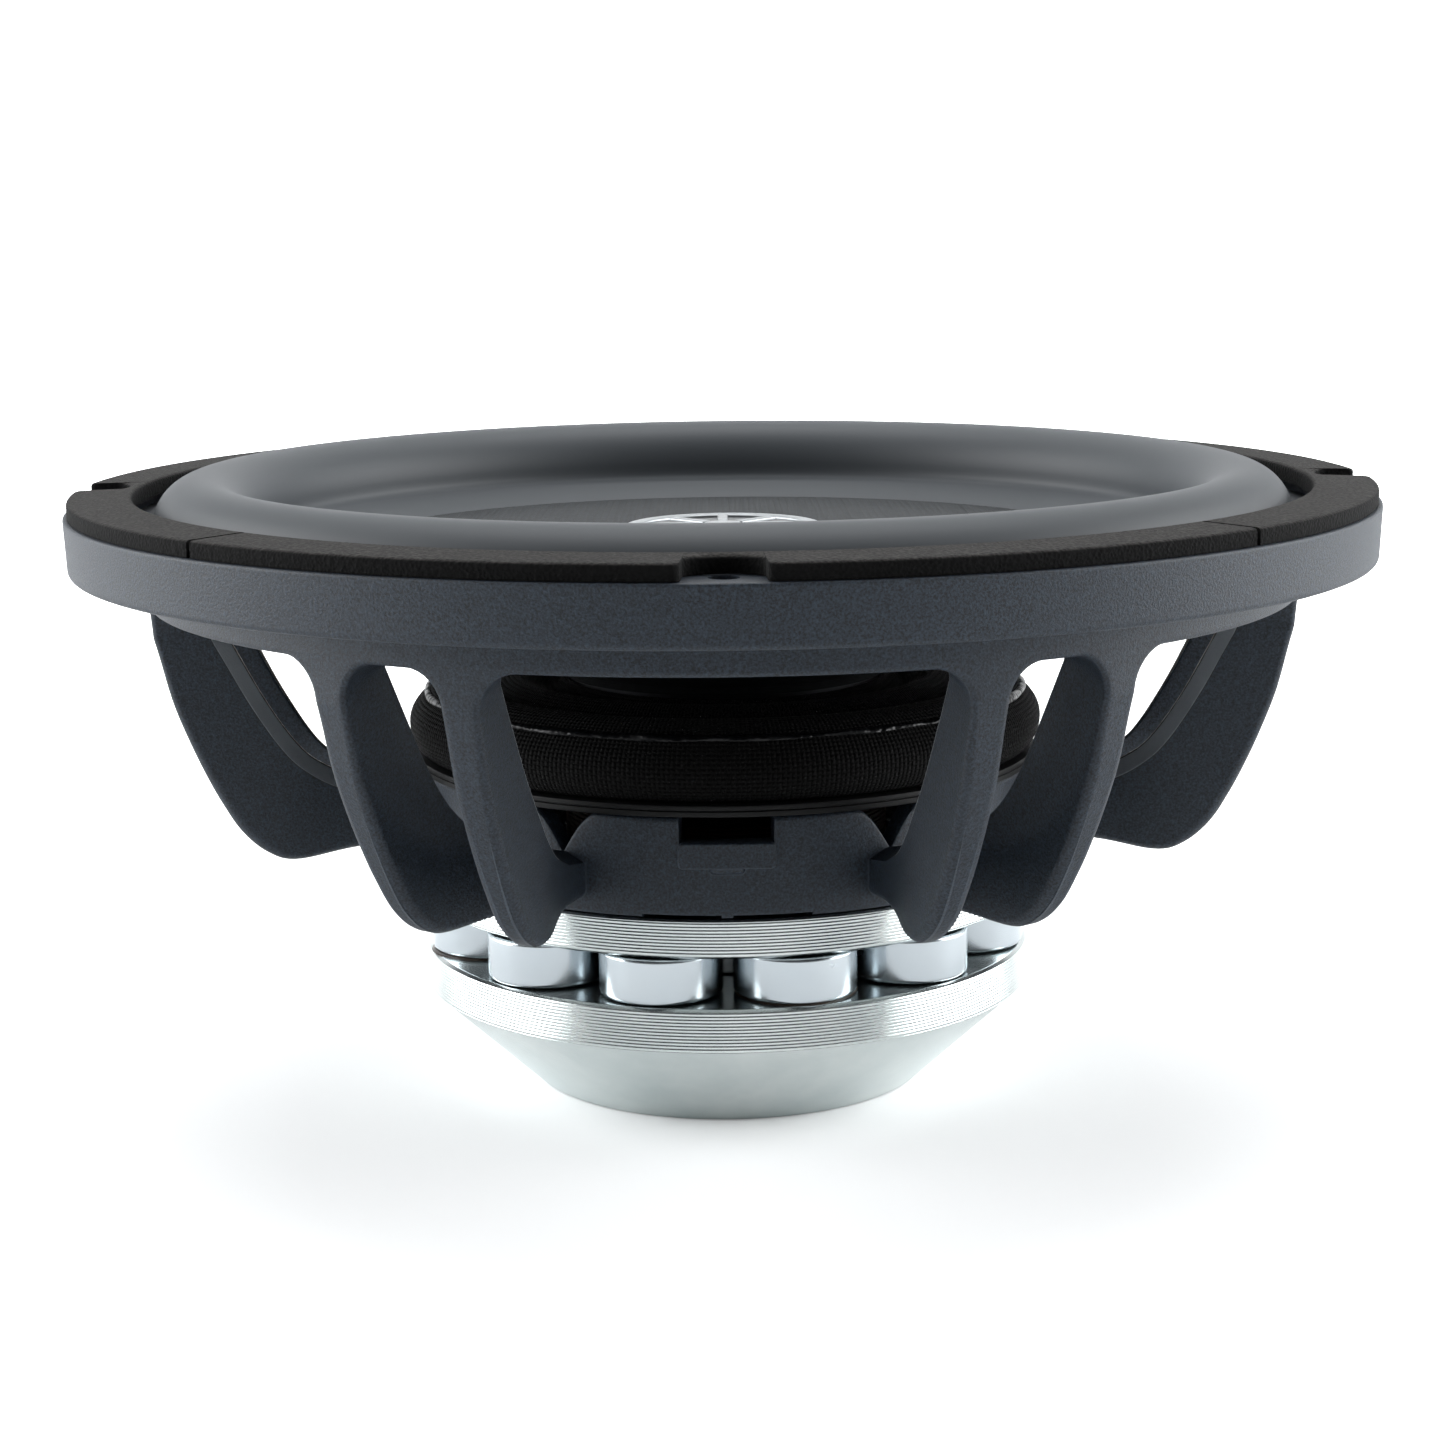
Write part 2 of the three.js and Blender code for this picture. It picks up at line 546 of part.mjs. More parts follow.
add('badge_star', badgeStar(), material(0xcfd2d4, 0.15, 1));
add('surround', turned(surroundOutline()), rubber());
['front', 'right', 'back', 'left'].forEach((where, k) => {
  add(`gasket_${where}`, gasketArc(), foam()).rotation.z = rad(k * 90);
});
add('terminal_block', terminalBlock(), blackPlastic());
add('terminal_button_red', terminalButton(-1), material(0xa81f1f, 0.4, 0));
add('terminal_button_black', terminalButton(1), blackPlastic());
for (const [name, side] of [['red', -1], ['black', 1]]) {
  add(`terminal_tab_${name}`, terminalTab(side), material(0xc9a24a, 0.3, 1));
  add(`terminal_screw_${name}`, turnedFromAxis(terminalScrew, 10), screwSteel())
    .position.set(side * TERMINAL_SCREW_X, 115, 0);
  add(`lead_${name}`, lead(side), material(0x8a5a3a, 0.5, 0.7));
}

export default object;
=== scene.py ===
"""Ten-inch car subwoofer driver, standing on its back plate with the cone facing up.
Shapes are worked out in millimetres, +Z up and -Y to the front, and stored in metres."""

import math

import bmesh
import bpy
import numpy as np
from mathutils import Matrix, Vector


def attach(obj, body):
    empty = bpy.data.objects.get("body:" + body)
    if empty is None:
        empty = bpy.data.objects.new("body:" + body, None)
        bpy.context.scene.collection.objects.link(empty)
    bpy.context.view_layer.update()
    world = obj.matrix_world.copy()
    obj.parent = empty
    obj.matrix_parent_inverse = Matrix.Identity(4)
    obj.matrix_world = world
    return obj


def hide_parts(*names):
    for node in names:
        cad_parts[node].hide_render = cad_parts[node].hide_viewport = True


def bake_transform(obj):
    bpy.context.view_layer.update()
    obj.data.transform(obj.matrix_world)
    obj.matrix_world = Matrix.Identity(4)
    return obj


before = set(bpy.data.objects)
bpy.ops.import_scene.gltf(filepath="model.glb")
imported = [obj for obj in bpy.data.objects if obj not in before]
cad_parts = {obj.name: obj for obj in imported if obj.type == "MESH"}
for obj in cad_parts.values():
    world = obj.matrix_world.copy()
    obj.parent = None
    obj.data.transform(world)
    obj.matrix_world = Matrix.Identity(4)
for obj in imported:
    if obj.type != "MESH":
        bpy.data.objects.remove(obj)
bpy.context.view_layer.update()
scene = bpy.context.scene


# Camera: a little above the rim, looking down on the near edge of the ring, with a long lens.
LENS = 72.16
EYE = (-0.00054, -0.6136, 0.19057)
PITCH = 0.1855
ROLL = 0.0118
camera_data = bpy.data.cameras.new("Camera")
camera_data.lens = LENS
camera = bpy.data.objects.new("Camera", camera_data)
scene.collection.objects.link(camera)
camera.matrix_world = (
    Matrix.Translation(EYE)
    @ Matrix.Rotation(math.pi / 2 - PITCH, 4, "X")
    @ Matrix.Rotation(-ROLL, 4, "Z")
)
scene.camera = camera


# Studio: two tall soft boxes at the sides, one overhead, one that lights the wall behind, and a dim
# room in front, which leaves the middle of the object dark.
def linear(colour):
    """Linear RGBA of an sRGB hex colour: ((c + 0.055) / 1.055) ** 2.4, and c / 12.92 near black."""
    c = np.array([int(colour[i:i + 2], 16) for i in (1, 3, 5)]) / 255
    return (*np.where(c <= 0.04045, c / 12.92, ((c + 0.055) / 1.055) ** 2.4), 1.0)


def node(tree, kind, inputs=None, **settings):
    """One shader node: settings are its own options, inputs are values or sockets to link."""
    made = tree.nodes.new("ShaderNode" + kind)
    for key, value in settings.items():
        setattr(made, key, value)
    for key, value in (inputs or {}).items():
        if isinstance(value, bpy.types.NodeSocket):
            tree.links.new(value, made.inputs[key])
        else:
            made.inputs[key].default_value = value
    return made


def new_material(name, **inputs):
    """A material with one Principled shader. Inputs are set straight on the shader's sockets."""
    made = bpy.data.materials.new(name)
    made.use_nodes = True
    shader = made.node_tree.nodes["Principled BSDF"]
    for key, value in inputs.items():
        shader.inputs[key.replace("_", " ")].default_value = value
    return made, made.node_tree, shader


MM = 0.001


def skin(grid, caps=False, uv=None):
    """A part from a grid of points (rows, columns, 3): one quad between neighbours.
    caps closes the first and last row with one face each. uv is a (rows, columns, 2) map."""
    rows, columns = grid.shape[:2]
    index = np.arange(rows * columns).reshape(rows, columns)
    faces = np.stack([index[:-1, :-1], index[:-1, 1:], index[1:, 1:], index[1:, :-1]], axis=-1)
    faces = faces.reshape(-1, 4).tolist()
    if caps:
        faces += [index[0, :-1].tolist(), index[-1, :-1].tolist()]
    return grid.reshape(-1, 3), faces, None if uv is None else uv.reshape(-1, 2)


def piece(name, parts, material, crease=40.0, weld=0.002, even=True, meshes=()):
    """One object of parts from skin() and ready meshes: doubles merged, faces turned outwards, edges
    sharper than crease degrees kept sharp, and shading weighted by face size where even is set."""
    mesh = bpy.data.meshes.new(name)
    start = np.cumsum([0] + [len(points) for points, _, _ in parts])
    faces = [[i + begin for i in face] for (_, part, _), begin in zip(parts, start) for face in part]
    mesh.from_pydata(np.concatenate([points for points, _, _ in parts]) * MM, [], faces)
    if parts[0][2] is not None:
        place = np.concatenate([uv for _, _, uv in parts])
        corner = np.zeros(len(mesh.loops), int)
        mesh.loops.foreach_get("vertex_index", corner)
        mesh.uv_layers.new(name="cloth").data.foreach_set("uv", place[corner].astype(np.float32).ravel())
    work = bmesh.new()
    work.from_mesh(mesh)
    bmesh.ops.remove_doubles(work, verts=work.verts, dist=weld * MM)
    bmesh.ops.dissolve_degenerate(work, edges=work.edges, dist=weld * MM / 2)
    bmesh.ops.recalc_face_normals(work, faces=work.faces)
    for ready in meshes:
        work.from_mesh(ready)
    work.to_mesh(mesh)
    work.free()
    mesh.shade_smooth()
    mesh.set_sharp_from_angle(angle=math.radians(crease))
    mesh.materials.append(material)
    made = bpy.data.objects.new(name, mesh)
    scene.collection.objects.link(made)
    if even:
        normals = made.modifiers.new("even shading", "WEIGHTED_NORMAL")
        normals.keep_sharp = True
    return made


def soft_box(name, place, aim, size, watts):
    """A rectangular area light at place, turned to face aim."""
    light = bpy.data.lights.new(name, "AREA")
    light.shape = "RECTANGLE"
    light.size, light.size_y = size
    light.energy = watts
    light.color = (0.975, 0.988, 1.0)
    made = bpy.data.objects.new(name, light)
    made.matrix_world = Matrix.Translation(place) @ (
        (Vector(aim) - Vector(place)).to_track_quat("-Z", "Y").to_matrix().to_4x4()
    )
    made.visible_camera = False
    scene.collection.objects.link(made)
    return made


soft_box("left_box", (-1.5, 0.15, 0.5), (0, 0, 0.08), (1.6, 1.5), 46)
soft_box("right_box", (1.5, 0.15, 0.5), (0, 0, 0.08), (1.6, 1.5), 46)
soft_box("top_box", (0, 0.45, 1.7), (0, 0, 0.1), (1.6, 1.0), 17)
soft_box("wall_box", (0, 1.0, 1.9), (0, 2.4, 0.7), (3.0, 0.6), 40)
world = bpy.data.worlds.new("room")
scene.world = world
world.use_nodes = True
tree = world.node_tree
tree.nodes.clear()
dim = node(tree, "Background", {"Color": linear("#f4f6f8"), "Strength": 0.12})
white = node(tree, "Background", {"Color": (1, 1, 1, 1), "Strength": 1.0})
seen = node(tree, "LightPath").outputs["Is Camera Ray"]
shade = node(tree, "MixShader", {0: seen, 1: dim.outputs["Background"], 2: white.outputs["Background"]})
node(tree, "OutputWorld", {"Surface": shade.outputs["Shader"]})
scene.view_settings.view_transform = "Standard"


# Floor: matt white paper on a roll, swept up behind in a quarter circle of radius 0.8 m.
def speckled(name, scale, dark, light, detail=2.0, **inputs):
    """A material mottled between two colours by noise whose grain is 1 / scale metres."""
    made, tree, shader = new_material(name, **inputs)
    place = node(tree, "TexCoord").outputs["Object"]
    specks = node(tree, "TexNoise", {"Vector": place, "Scale": scale, "Detail": detail})
    tint = node(tree, "ValToRGB", {"Fac": specks.outputs["Fac"]})
    tint.color_ramp.elements[0].color = linear(dark)
    tint.color_ramp.elements[1].color = linear(light)
    tree.links.new(tint.outputs["Color"], shader.inputs["Base Color"])
    return made, tree, shader, specks.outputs["Fac"]


paper, tree, shader, _ = speckled("matt white paper roll", 3.0, "#f6f7f7", "#fbfbfb", Roughness=0.9)
# Painted light: the paper glows for camera rays, faintly under the object and fully farther out, though no
# lamp lights it from below.
place = node(tree, "NewGeometry").outputs["Position"]
out = node(tree, "VectorMath", {0: place}, operation="LENGTH").outputs["Value"]
glow = node(tree, "MapRange", {"Value": out, "From Min": 0.12, "From Max": 0.7,
                               "To Min": 0.17, "To Max": 1.0})
seen = node(tree, "LightPath").outputs["Is Camera Ray"]
glow = node(tree, "Math", {0: glow.outputs["Result"], 1: seen}, operation="MULTIPLY")
shader.inputs["Emission Color"].default_value = (1, 1, 1, 1)
tree.links.new(glow.outputs["Value"], shader.inputs["Emission Strength"])
bend = np.radians(np.linspace(0, 90, 24))
sweep_y = np.concatenate([[-3000.0], 1600 + 800 * np.sin(bend), [2400]])
sweep_z = np.concatenate([[0.0], 800 * (1 - np.cos(bend)), [4000]])
sweep_x = np.linspace(-4000, 4000, 9)
roll = np.stack(np.broadcast_arrays(sweep_x[None, :], sweep_y[:, None], sweep_z[:, None]), axis=-1)
floor = piece("floor", [skin(roll)], paper, even=False)


# Basket: one aluminium die casting, powder coated. A flanged ring, twelve deep legs in six pairs, and
# a cupped hub with a dipped rim, a locating notch in front and a flat ledge under the notch.
def eased(corners, steps=4, closed=True):
    """Outline whose corners [r, z, e] are rounded by the quadratic curve from e before to e after."""
    corners = np.array(corners, float)
    at, reach = corners[:, :2], corners[:, 2:]
    before, after = np.roll(at, 1, axis=0) - at, np.roll(at, -1, axis=0) - at
    a = (at + reach * before / np.linalg.norm(before, axis=1, keepdims=True))[:, None]
    b = (at + reach * after / np.linalg.norm(after, axis=1, keepdims=True))[:, None]
    t = np.linspace(0, 1, steps + 1)[None, :, None]
    curve = ((1 - t) ** 2 * a + 2 * t * (1 - t) * at[:, None] + t ** 2 * b).reshape(-1, 2)
    return np.concatenate([curve, curve[:1]]) if closed else curve


def turned(outline, sides=192, centre=(0, 0)):
    """Grid of an outline [r, z] carried round the Z axis, or round an upright axis at centre."""
    angle = np.linspace(0, 2 * math.pi, sides + 1)
    r, z = outline[:, :1], outline[:, 1:2]
    x, y = centre[0] + r * np.sin(angle), centre[1] - r * np.cos(angle)
    return np.stack([x, y, z + 0 * angle], axis=-1)


def through(knots, count):
    """Smooth curve through the knots: cubics whose end slopes are half the neighbours' chord."""
    knots = np.array(knots, float)
    slope = np.gradient(knots, axis=0)
    t = np.linspace(0, len(knots) - 1, count)
    i = np.minimum(t.astype(int), len(knots) - 2)
    f = (t - i)[:, None]
    return ((1 + 2 * f) * (1 - f) ** 2 * knots[i] + f * (1 - f) ** 2 * slope[i]
            + f * f * (3 - 2 * f) * knots[i + 1] + f * f * (f - 1) * slope[i + 1])


def rotated(points, degrees):
    """Points turned about the Z axis."""
    a = math.radians(degrees)
    turn = np.array([[math.cos(a), math.sin(a), 0], [-math.sin(a), math.cos(a), 0], [0, 0, 1]])
    return points @ turn


FLANGE_R = 137.0
SKIRT_R = 120.7
FLANGE_TOP = 124.6
FLANGE_BOTTOM = 113.0
WINDOW_TOP = 105.8
SEAT_R, SEAT_Z = 125.6, 121.0
EDGE = 1.1                       # rounding of the casting's outer edges
BOLT_CIRCLE_R, BOLT_HOLE_R, BOLT_COUNT = 129.5, 2.8, 8
PAIR_AZIMUTHS = np.arange(30, 390, 60)
LEG_OFFSET = math.radians(6.9)   # a leg's middle from its pair's middle
LEG_HALF = math.radians(1.8)
LEG_HALF_LEAST = 2.9
CLOSE_R, CLOSE_LENGTH, CLOSE_OFFSET = 64, 32, 2.2   # where a pair's legs close up, and how near
CHAMFER_DEPTH = 15               # a leg deeper than this has the same chamfer
WINDOW_CORNER, SLOT_CORNER, INNER_CORNER = 8.0, 7.5, 3.0
HUB_R, HUB_INNER_R, HUB_TOP = 64.8, 60.4, 68.8

# Powder coat on cast aluminium: slate grey, with the sandy grain of about half a millimetre that the
# baked powder leaves.
coat, tree, shader = new_material("slate powder coat", Roughness=0.5, IOR=1.42)
place = node(tree, "TexCoord").outputs["Object"]
grain = node(tree, "TexNoise", {"Vector": place, "Scale": 2100.0, "Detail": 3.0, "Roughness": 0.7})
cloud = node(tree, "TexNoise", {"Vector": place, "Scale": 45.0, "Detail": 4.0})
tint = node(tree, "ValToRGB", {"Fac": grain.outputs["Fac"]})
tint.color_ramp.elements[0].position, tint.color_ramp.elements[1].position = 0.36, 0.7
tint.color_ramp.elements[0].color = linear("#0b1015")
tint.color_ramp.elements[1].color = linear("#303b48")
rough = node(tree, "MapRange", {"Value": grain.outputs["Fac"], "To Min": 0.42, "To Max": 0.6})
pits = node(tree, "Bump", {"Height": grain.outputs["Fac"], "Strength": 0.8, "Distance": 0.0002})
# The map's V runs from 0 on a leg's sides to 1 on its chamfer and 2 on its inner edge, where the
# casting's flash was trimmed off: bare of grain, then brownish, with ragged dark borders. The chamfer's band
# is painted light, much lighter than trimmed metal, because no lamp reaches it.
trim = node(tree, "SeparateXYZ", {"Vector": node(tree, "TexCoord").outputs["UV"]}).outputs["Y"]
ragged = node(tree, "Math", {0: cloud.outputs["Fac"], 1: 0.3}, operation="MULTIPLY").outputs["Value"]
edge_at = node(tree, "Math", {0: trim, 1: ragged}, operation="ADD").outputs["Value"]
edge_at = node(tree, "Math", {0: edge_at, 1: 0.4}, operation="MULTIPLY").outputs["Value"]
trim_and_light_mask = node(tree, "MapRange", {"Value": edge_at, "From Min": 0.2, "From Max": 0.26})
line = node(tree, "ValToRGB", {"Fac": edge_at})
stops = line.color_ramp.elements
stops[0].position, stops[1].position = 0.36, 0.8
stops[0].color, stops[1].color = linear("#08090a"), linear("#6b625a")
# Painted light: the chamfer's light band, far lighter than its trimmed metal, so that it looks lit.
stops.new(0.43).color = linear("#a9afb5")
stops.new(0.52).color = linear("#a9afb5")
stops.new(0.56).color = linear("#08090a")
stops.new(0.72).color = linear("#08090a")
coat_with_lit_trim = node(tree, "Mix", {"Factor": trim_and_light_mask.outputs["Result"], 6: tint.outputs["Color"],
                          7: line.outputs["Color"]}, data_type="RGBA")
# Painted highlight: rounded edges, concave ones too, are painted lighter where a bevelled normal leans away
# from the true one, so that they look as if they catch the light. The band where the legs run into the skirt
# stays even.
BAND_Z, BAND_HALF = 0.1065, 0.0022
bevelled = node(tree, "Bevel", {"Radius": 0.0007}, samples=4).outputs["Normal"]
true_normal = node(tree, "NewGeometry").outputs["Normal"]
leaning = node(tree, "VectorMath", {0: bevelled, 1: true_normal}, operation="DOT_PRODUCT")
edge = node(tree, "MapRange", {"Value": leaning.outputs["Value"], "From Min": 0.99, "From Max": 0.85,
                               "To Max": 0.3})
height = node(tree, "SeparateXYZ", {"Vector": place}).outputs["Z"]
clear = node(tree, "Math", {0: height, 1: BAND_Z, 2: BAND_HALF}, operation="COMPARE").outputs["Value"]
edge = node(tree, "MapRange", {"Value": clear, "To Min": edge.outputs["Result"], "To Max": 0.0})
edge_highlight = node(tree, "Mix", {"Factor": edge.outputs["Result"], 6: coat_with_lit_trim.outputs[2], 7: linear("#5d6670")},
            data_type="RGBA")
tree.links.new(edge_highlight.outputs[2], shader.inputs["Base Color"])
tree.links.new(rough.outputs["Result"], shader.inputs["Roughness"])
tree.links.new(pits.outputs["Normal"], shader.inputs["Normal"])

ring_outline = eased([
    (FLANGE_R, FLANGE_TOP, 0.7), (SEAT_R, FLANGE_TOP, 0.4), (SEAT_R, SEAT_Z, 0.3), (116.2, SEAT_Z, 0.6),
    (114, FLANGE_BOTTOM, 1.5), (111.5, WINDOW_TOP, 0.8), (SKIRT_R, WINDOW_TOP, EDGE),
    (SKIRT_R, FLANGE_BOTTOM, 1.4), (136.45, FLANGE_BOTTOM, 1.2),
], steps=5)
ring = piece("ring", [skin(turned(ring_outline, 288))], coat)
hole_outline = np.array([[0, 110], [BOLT_HOLE_R, 110], [BOLT_HOLE_R, 127], [0, 127.0]])
hole_at = np.radians(np.arange(BOLT_COUNT) * 360 / BOLT_COUNT)
holes = piece("holes", [
    skin(turned(hole_outline, 32, (BOLT_CIRCLE_R * math.sin(a), -BOLT_CIRCLE_R * math.cos(a))))
    for a in hole_at
], coat, even=False)
ring.modifiers.clear()
drill = ring.modifiers.new("drill", "BOOLEAN")
drill.operation, drill.object = "DIFFERENCE", holes
bpy.context.view_layer.update()
drilled = bpy.data.meshes.new_from_object(ring.evaluated_get(bpy.context.evaluated_depsgraph_get()))
bpy.data.objects.remove(ring)
bpy.data.objects.remove(holes)

# A leg's outer [r, z] and inner [r, z] edge, from the hub up to where its corners open out.
leg_low = through([
    (62.5, 51.4, 62.5, 60), (80, 50.6, 70, 62), (92.2, 49.2, 75.5, 64), (98.2, 51, 78.8, 65.2),
    (103.4, 55.6, 82.5, 66.8), (107.4, 62, 86.2, 68.9), (110.6, 68.4, 89.6, 71.6),
    (113.6, 75.4, 93.5, 76.6), (116.7, 84, 98.3, 84.4), (119.0, 93.5, 103.6, 94.6),
    (120.1, WINDOW_TOP - WINDOW_CORNER, 107.8, WINDOW_TOP - INNER_CORNER),
], 64)
corner_turn = np.radians(np.linspace(0, 90, 9))[1:]
leg_top = np.stack([
    120.1 + 0.6 * np.sin(corner_turn), WINDOW_TOP - WINDOW_CORNER * (1 - np.sin(corner_turn)),
    107.8 + 1.5 * np.sin(corner_turn), WINDOW_TOP - INNER_CORNER * (1 - np.sin(corner_turn)),
], axis=1)
leg_root = leg_top[-1] + [0.03, 1.4, 0, 1.4]
leg_rows = np.concatenate([leg_low, leg_top, [leg_root]])
leg_turn = np.concatenate([np.zeros(len(leg_low)), corner_turn, [math.pi / 2]])
# The section's points: side, inset from that side's face, depth in mm and as a share of the whole.
quarter = np.radians([0, 22, 45, 68, 90])
low_edge = 0.7
LEG_POINTS = np.array(
    [(-0.5, EDGE, 0, 0), (0, EDGE, 0, 0), (0.5, EDGE, 0, 0)]
    + [(1, EDGE * (1 - math.sin(a)), EDGE * (1 - math.cos(a)), 0) for a in quarter]
    + [(1, 0, 0, 0.3), (1, 0, 0, 0.55), (1, 0, 0, 0.76), (1, 0.1, 0, 0.8)]
    + [(1, 3.9, 0, 0.985), (1, 4.3, 0, 1)]
    + [(-1, low_edge, 0, 1), (-1, low_edge * 0.3, -low_edge * 0.3, 1), (-1, 0, -low_edge, 1)]
    + [(-1, 0, 0, 0.6), (-1, 0, 0, 0.3)]
    + [(-1, EDGE * (1 - math.sin(a)), EDGE * (1 - math.cos(a)), 0) for a in quarter[::-1]]
)
LEG_POINTS = np.concatenate([LEG_POINTS, LEG_POINTS[:1]])
leg_trim = np.zeros(len(LEG_POINTS))
leg_trim[(LEG_POINTS[:, 0] == 1) & (LEG_POINTS[:, 3] > 0.79)] = [1, 1, 2]
leg_trim[(LEG_POINTS[:, 0] == -1) & (LEG_POINTS[:, 3] == 1)] = [2, 0, 0]
leg_trim_and_light_fade = np.clip((leg_rows[:, 2] - 72) / 6, 0, 1)
leg_map = np.stack(np.broadcast_arrays(0.0, leg_trim_and_light_fade[:, None] * leg_trim), axis=-1)
# The outer edges are rounder down the leg than they are beside the ring.
leg_round = 1 + np.interp(leg_rows[:, 1], [60, 98], [1.0, 0.1])[:, None]


def leg(side):
    """Leg of one side of a pair: each row joins the outer edge to the inner edge, its half width is the
    larger of r sin(LEG_HALF) and LEG_HALF_LEAST, and near the window both faces open by a quarter
    circle. Towards the hub its middle moves in to CLOSE_OFFSET from the pair's middle."""
    share, inset, depth, part = (c[None, :] for c in LEG_POINTS.T)
    rounding = np.where(part == 0, leg_round, 1)
    inset, depth = inset * rounding, depth * rounding
    turn = leg_turn[:, None]
    outer, inner = leg_rows[:, None, :2], leg_rows[:, None, 2:]
    length = np.linalg.norm(outer - inner, axis=2)
    near_end = part > 0.7
    part = np.where(near_end, 1 - (1 - part) * np.minimum(1, CHAMFER_DEPTH / length), part + 0 * length)
    d = (part + depth / length)[..., None]
    r, z = np.moveaxis(outer + (inner - outer) * d, 2, 0)
    corner = np.where(share > 0, WINDOW_CORNER, SLOT_CORNER)
    half = np.maximum(r * math.sin(LEG_HALF), LEG_HALF_LEAST)
    half = half + (corner + (INNER_CORNER - corner) * d[..., 0]) * (1 - np.cos(turn))
    t = np.clip((r - CLOSE_R) / CLOSE_LENGTH, 0, 1)
    middle = CLOSE_OFFSET + (r * math.sin(LEG_OFFSET) - CLOSE_OFFSET) * t * t * (3 - 2 * t)
    x = side * (middle + share * half - np.sign(share) * inset * np.cos(turn) * (np.abs(share) == 1))
    z = z + inset * np.sin(turn)
    return np.stack([x, -np.sqrt(r * r - x * x), z], axis=-1)


legs = [
    skin(rotated(leg(side), pair), caps=True, uv=leg_map) for pair in PAIR_AZIMUTHS for side in (-1, 1)
]

# Hub: azimuths in degrees, closer together at the sides of the notch, and its rim's height at each.
NOTCH_HALF, NOTCH_Z = 8.25, 63.8
RECESS_HALF, TOOTH_HALF = 15.0, 1.0
STEP = 0.06                      # degrees taken by each sudden change of height
steps_at = np.array([[half, half + STEP] for half in (NOTCH_HALF, RECESS_HALF, TOOTH_HALF)]).ravel()
azimuth = np.unique(np.concatenate([np.arange(0, 360.1, 0.75), steps_at, 360 - steps_at]))
off_front = np.minimum(azimuth, 360 - azimuth)
off_pair = np.abs(azimuth % 60 - 30)
DIP_Z, DIP_HALF = 60.6, 7
rim = DIP_Z + (HUB_TOP - DIP_Z) * np.sin(np.clip(off_pair / DIP_HALF, 0, 1) * math.pi / 2)
rim = np.where(off_front < NOTCH_HALF + STEP / 2, NOTCH_Z, rim)
foot = 48.5 + 0.5 * (off_front < RECESS_HALF + STEP / 2) * (off_front > TOOTH_HALF + STEP / 2)
hub_r = np.array([44, 64.1, 64.6, HUB_R, HUB_R, HUB_R, HUB_R, 64.65, 64.2, 63.6, 61.1, 60.6, HUB_INNER_R,
                  HUB_INNER_R, 60.2, 59.6, 58.8, 44, 44.0])
flat = 0 * rim
hub_z = np.stack([foot, foot, foot + 0.2, foot + 0.7, foot + 4, rim - 4, rim - 1.2, rim - 0.5, rim - 0.12,
                  rim, rim, rim - 0.15, rim - 0.8, flat + 55.6, flat + 54.8, flat + 54.2, flat + 54,
                  flat + 54, foot])
turn = np.radians(azimuth)[None, :]
hub = np.stack([hub_r[:, None] * np.sin(turn), -hub_r[:, None] * np.cos(turn), hub_z], axis=-1)


def block(half_width, half_height, corner, levels, steps=5):
    """Levels (inset, depth) of a rounded rectangle: a grid (levels, around) of across, up, depth."""
    levels = np.array(levels, float)
    angle = np.linspace(0, math.pi / 2, steps + 1)
    angle = np.concatenate([angle + k * math.pi / 2 for k in range(4)])
    sx = np.repeat([1, -1, -1, 1], steps + 1)
    sy = np.repeat([1, 1, -1, -1], steps + 1)
    inset = levels[:, :1]
    radius = np.maximum(corner - inset, 0.05)
    across = sx * (half_width - inset - radius) + radius * np.cos(angle)
    up = sy * (half_height - inset - radius) + radius * np.sin(angle)
    grid = np.stack([across, up, levels[:, 1:] + 0 * across], axis=-1)
    return np.concatenate([grid, grid[:, :1]], axis=1)


LEDGE_Z, BUMP_Z = 61.35, 58.75
ledge_flat = block(9.4, 2.6, 1.0, [(0, -2.5), (0, 1.5), (0.12, 1.8), (0.4, 1.95)])
ledge_turn = ledge_flat[..., 0] / HUB_R
ledge_r = HUB_R + ledge_flat[..., 2]
ledge = np.stack([
    ledge_r * np.sin(ledge_turn), -ledge_r * np.cos(ledge_turn), LEDGE_Z + ledge_flat[..., 1],
], axis=-1)
bump_outline = block(3.6, 1.3, 1.2, [(0, -2.5), (0, 0.2), (0.4, 0.7), (1.0, 1.0)])
bump = np.stack([
    bump_outline[..., 0], -HUB_R - bump_outline[..., 2], BUMP_Z + bump_outline[..., 1],
], axis=-1)
plain_parts = [skin(hub), skin(ledge, caps=True), skin(bump, caps=True)]
plain_parts = [(points, faces, np.zeros((len(points), 2))) for points, faces, _ in plain_parts]
basket = piece("Basket", [*legs, *plain_parts], coat, meshes=[drilled])
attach(basket, "frame")
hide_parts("basket")


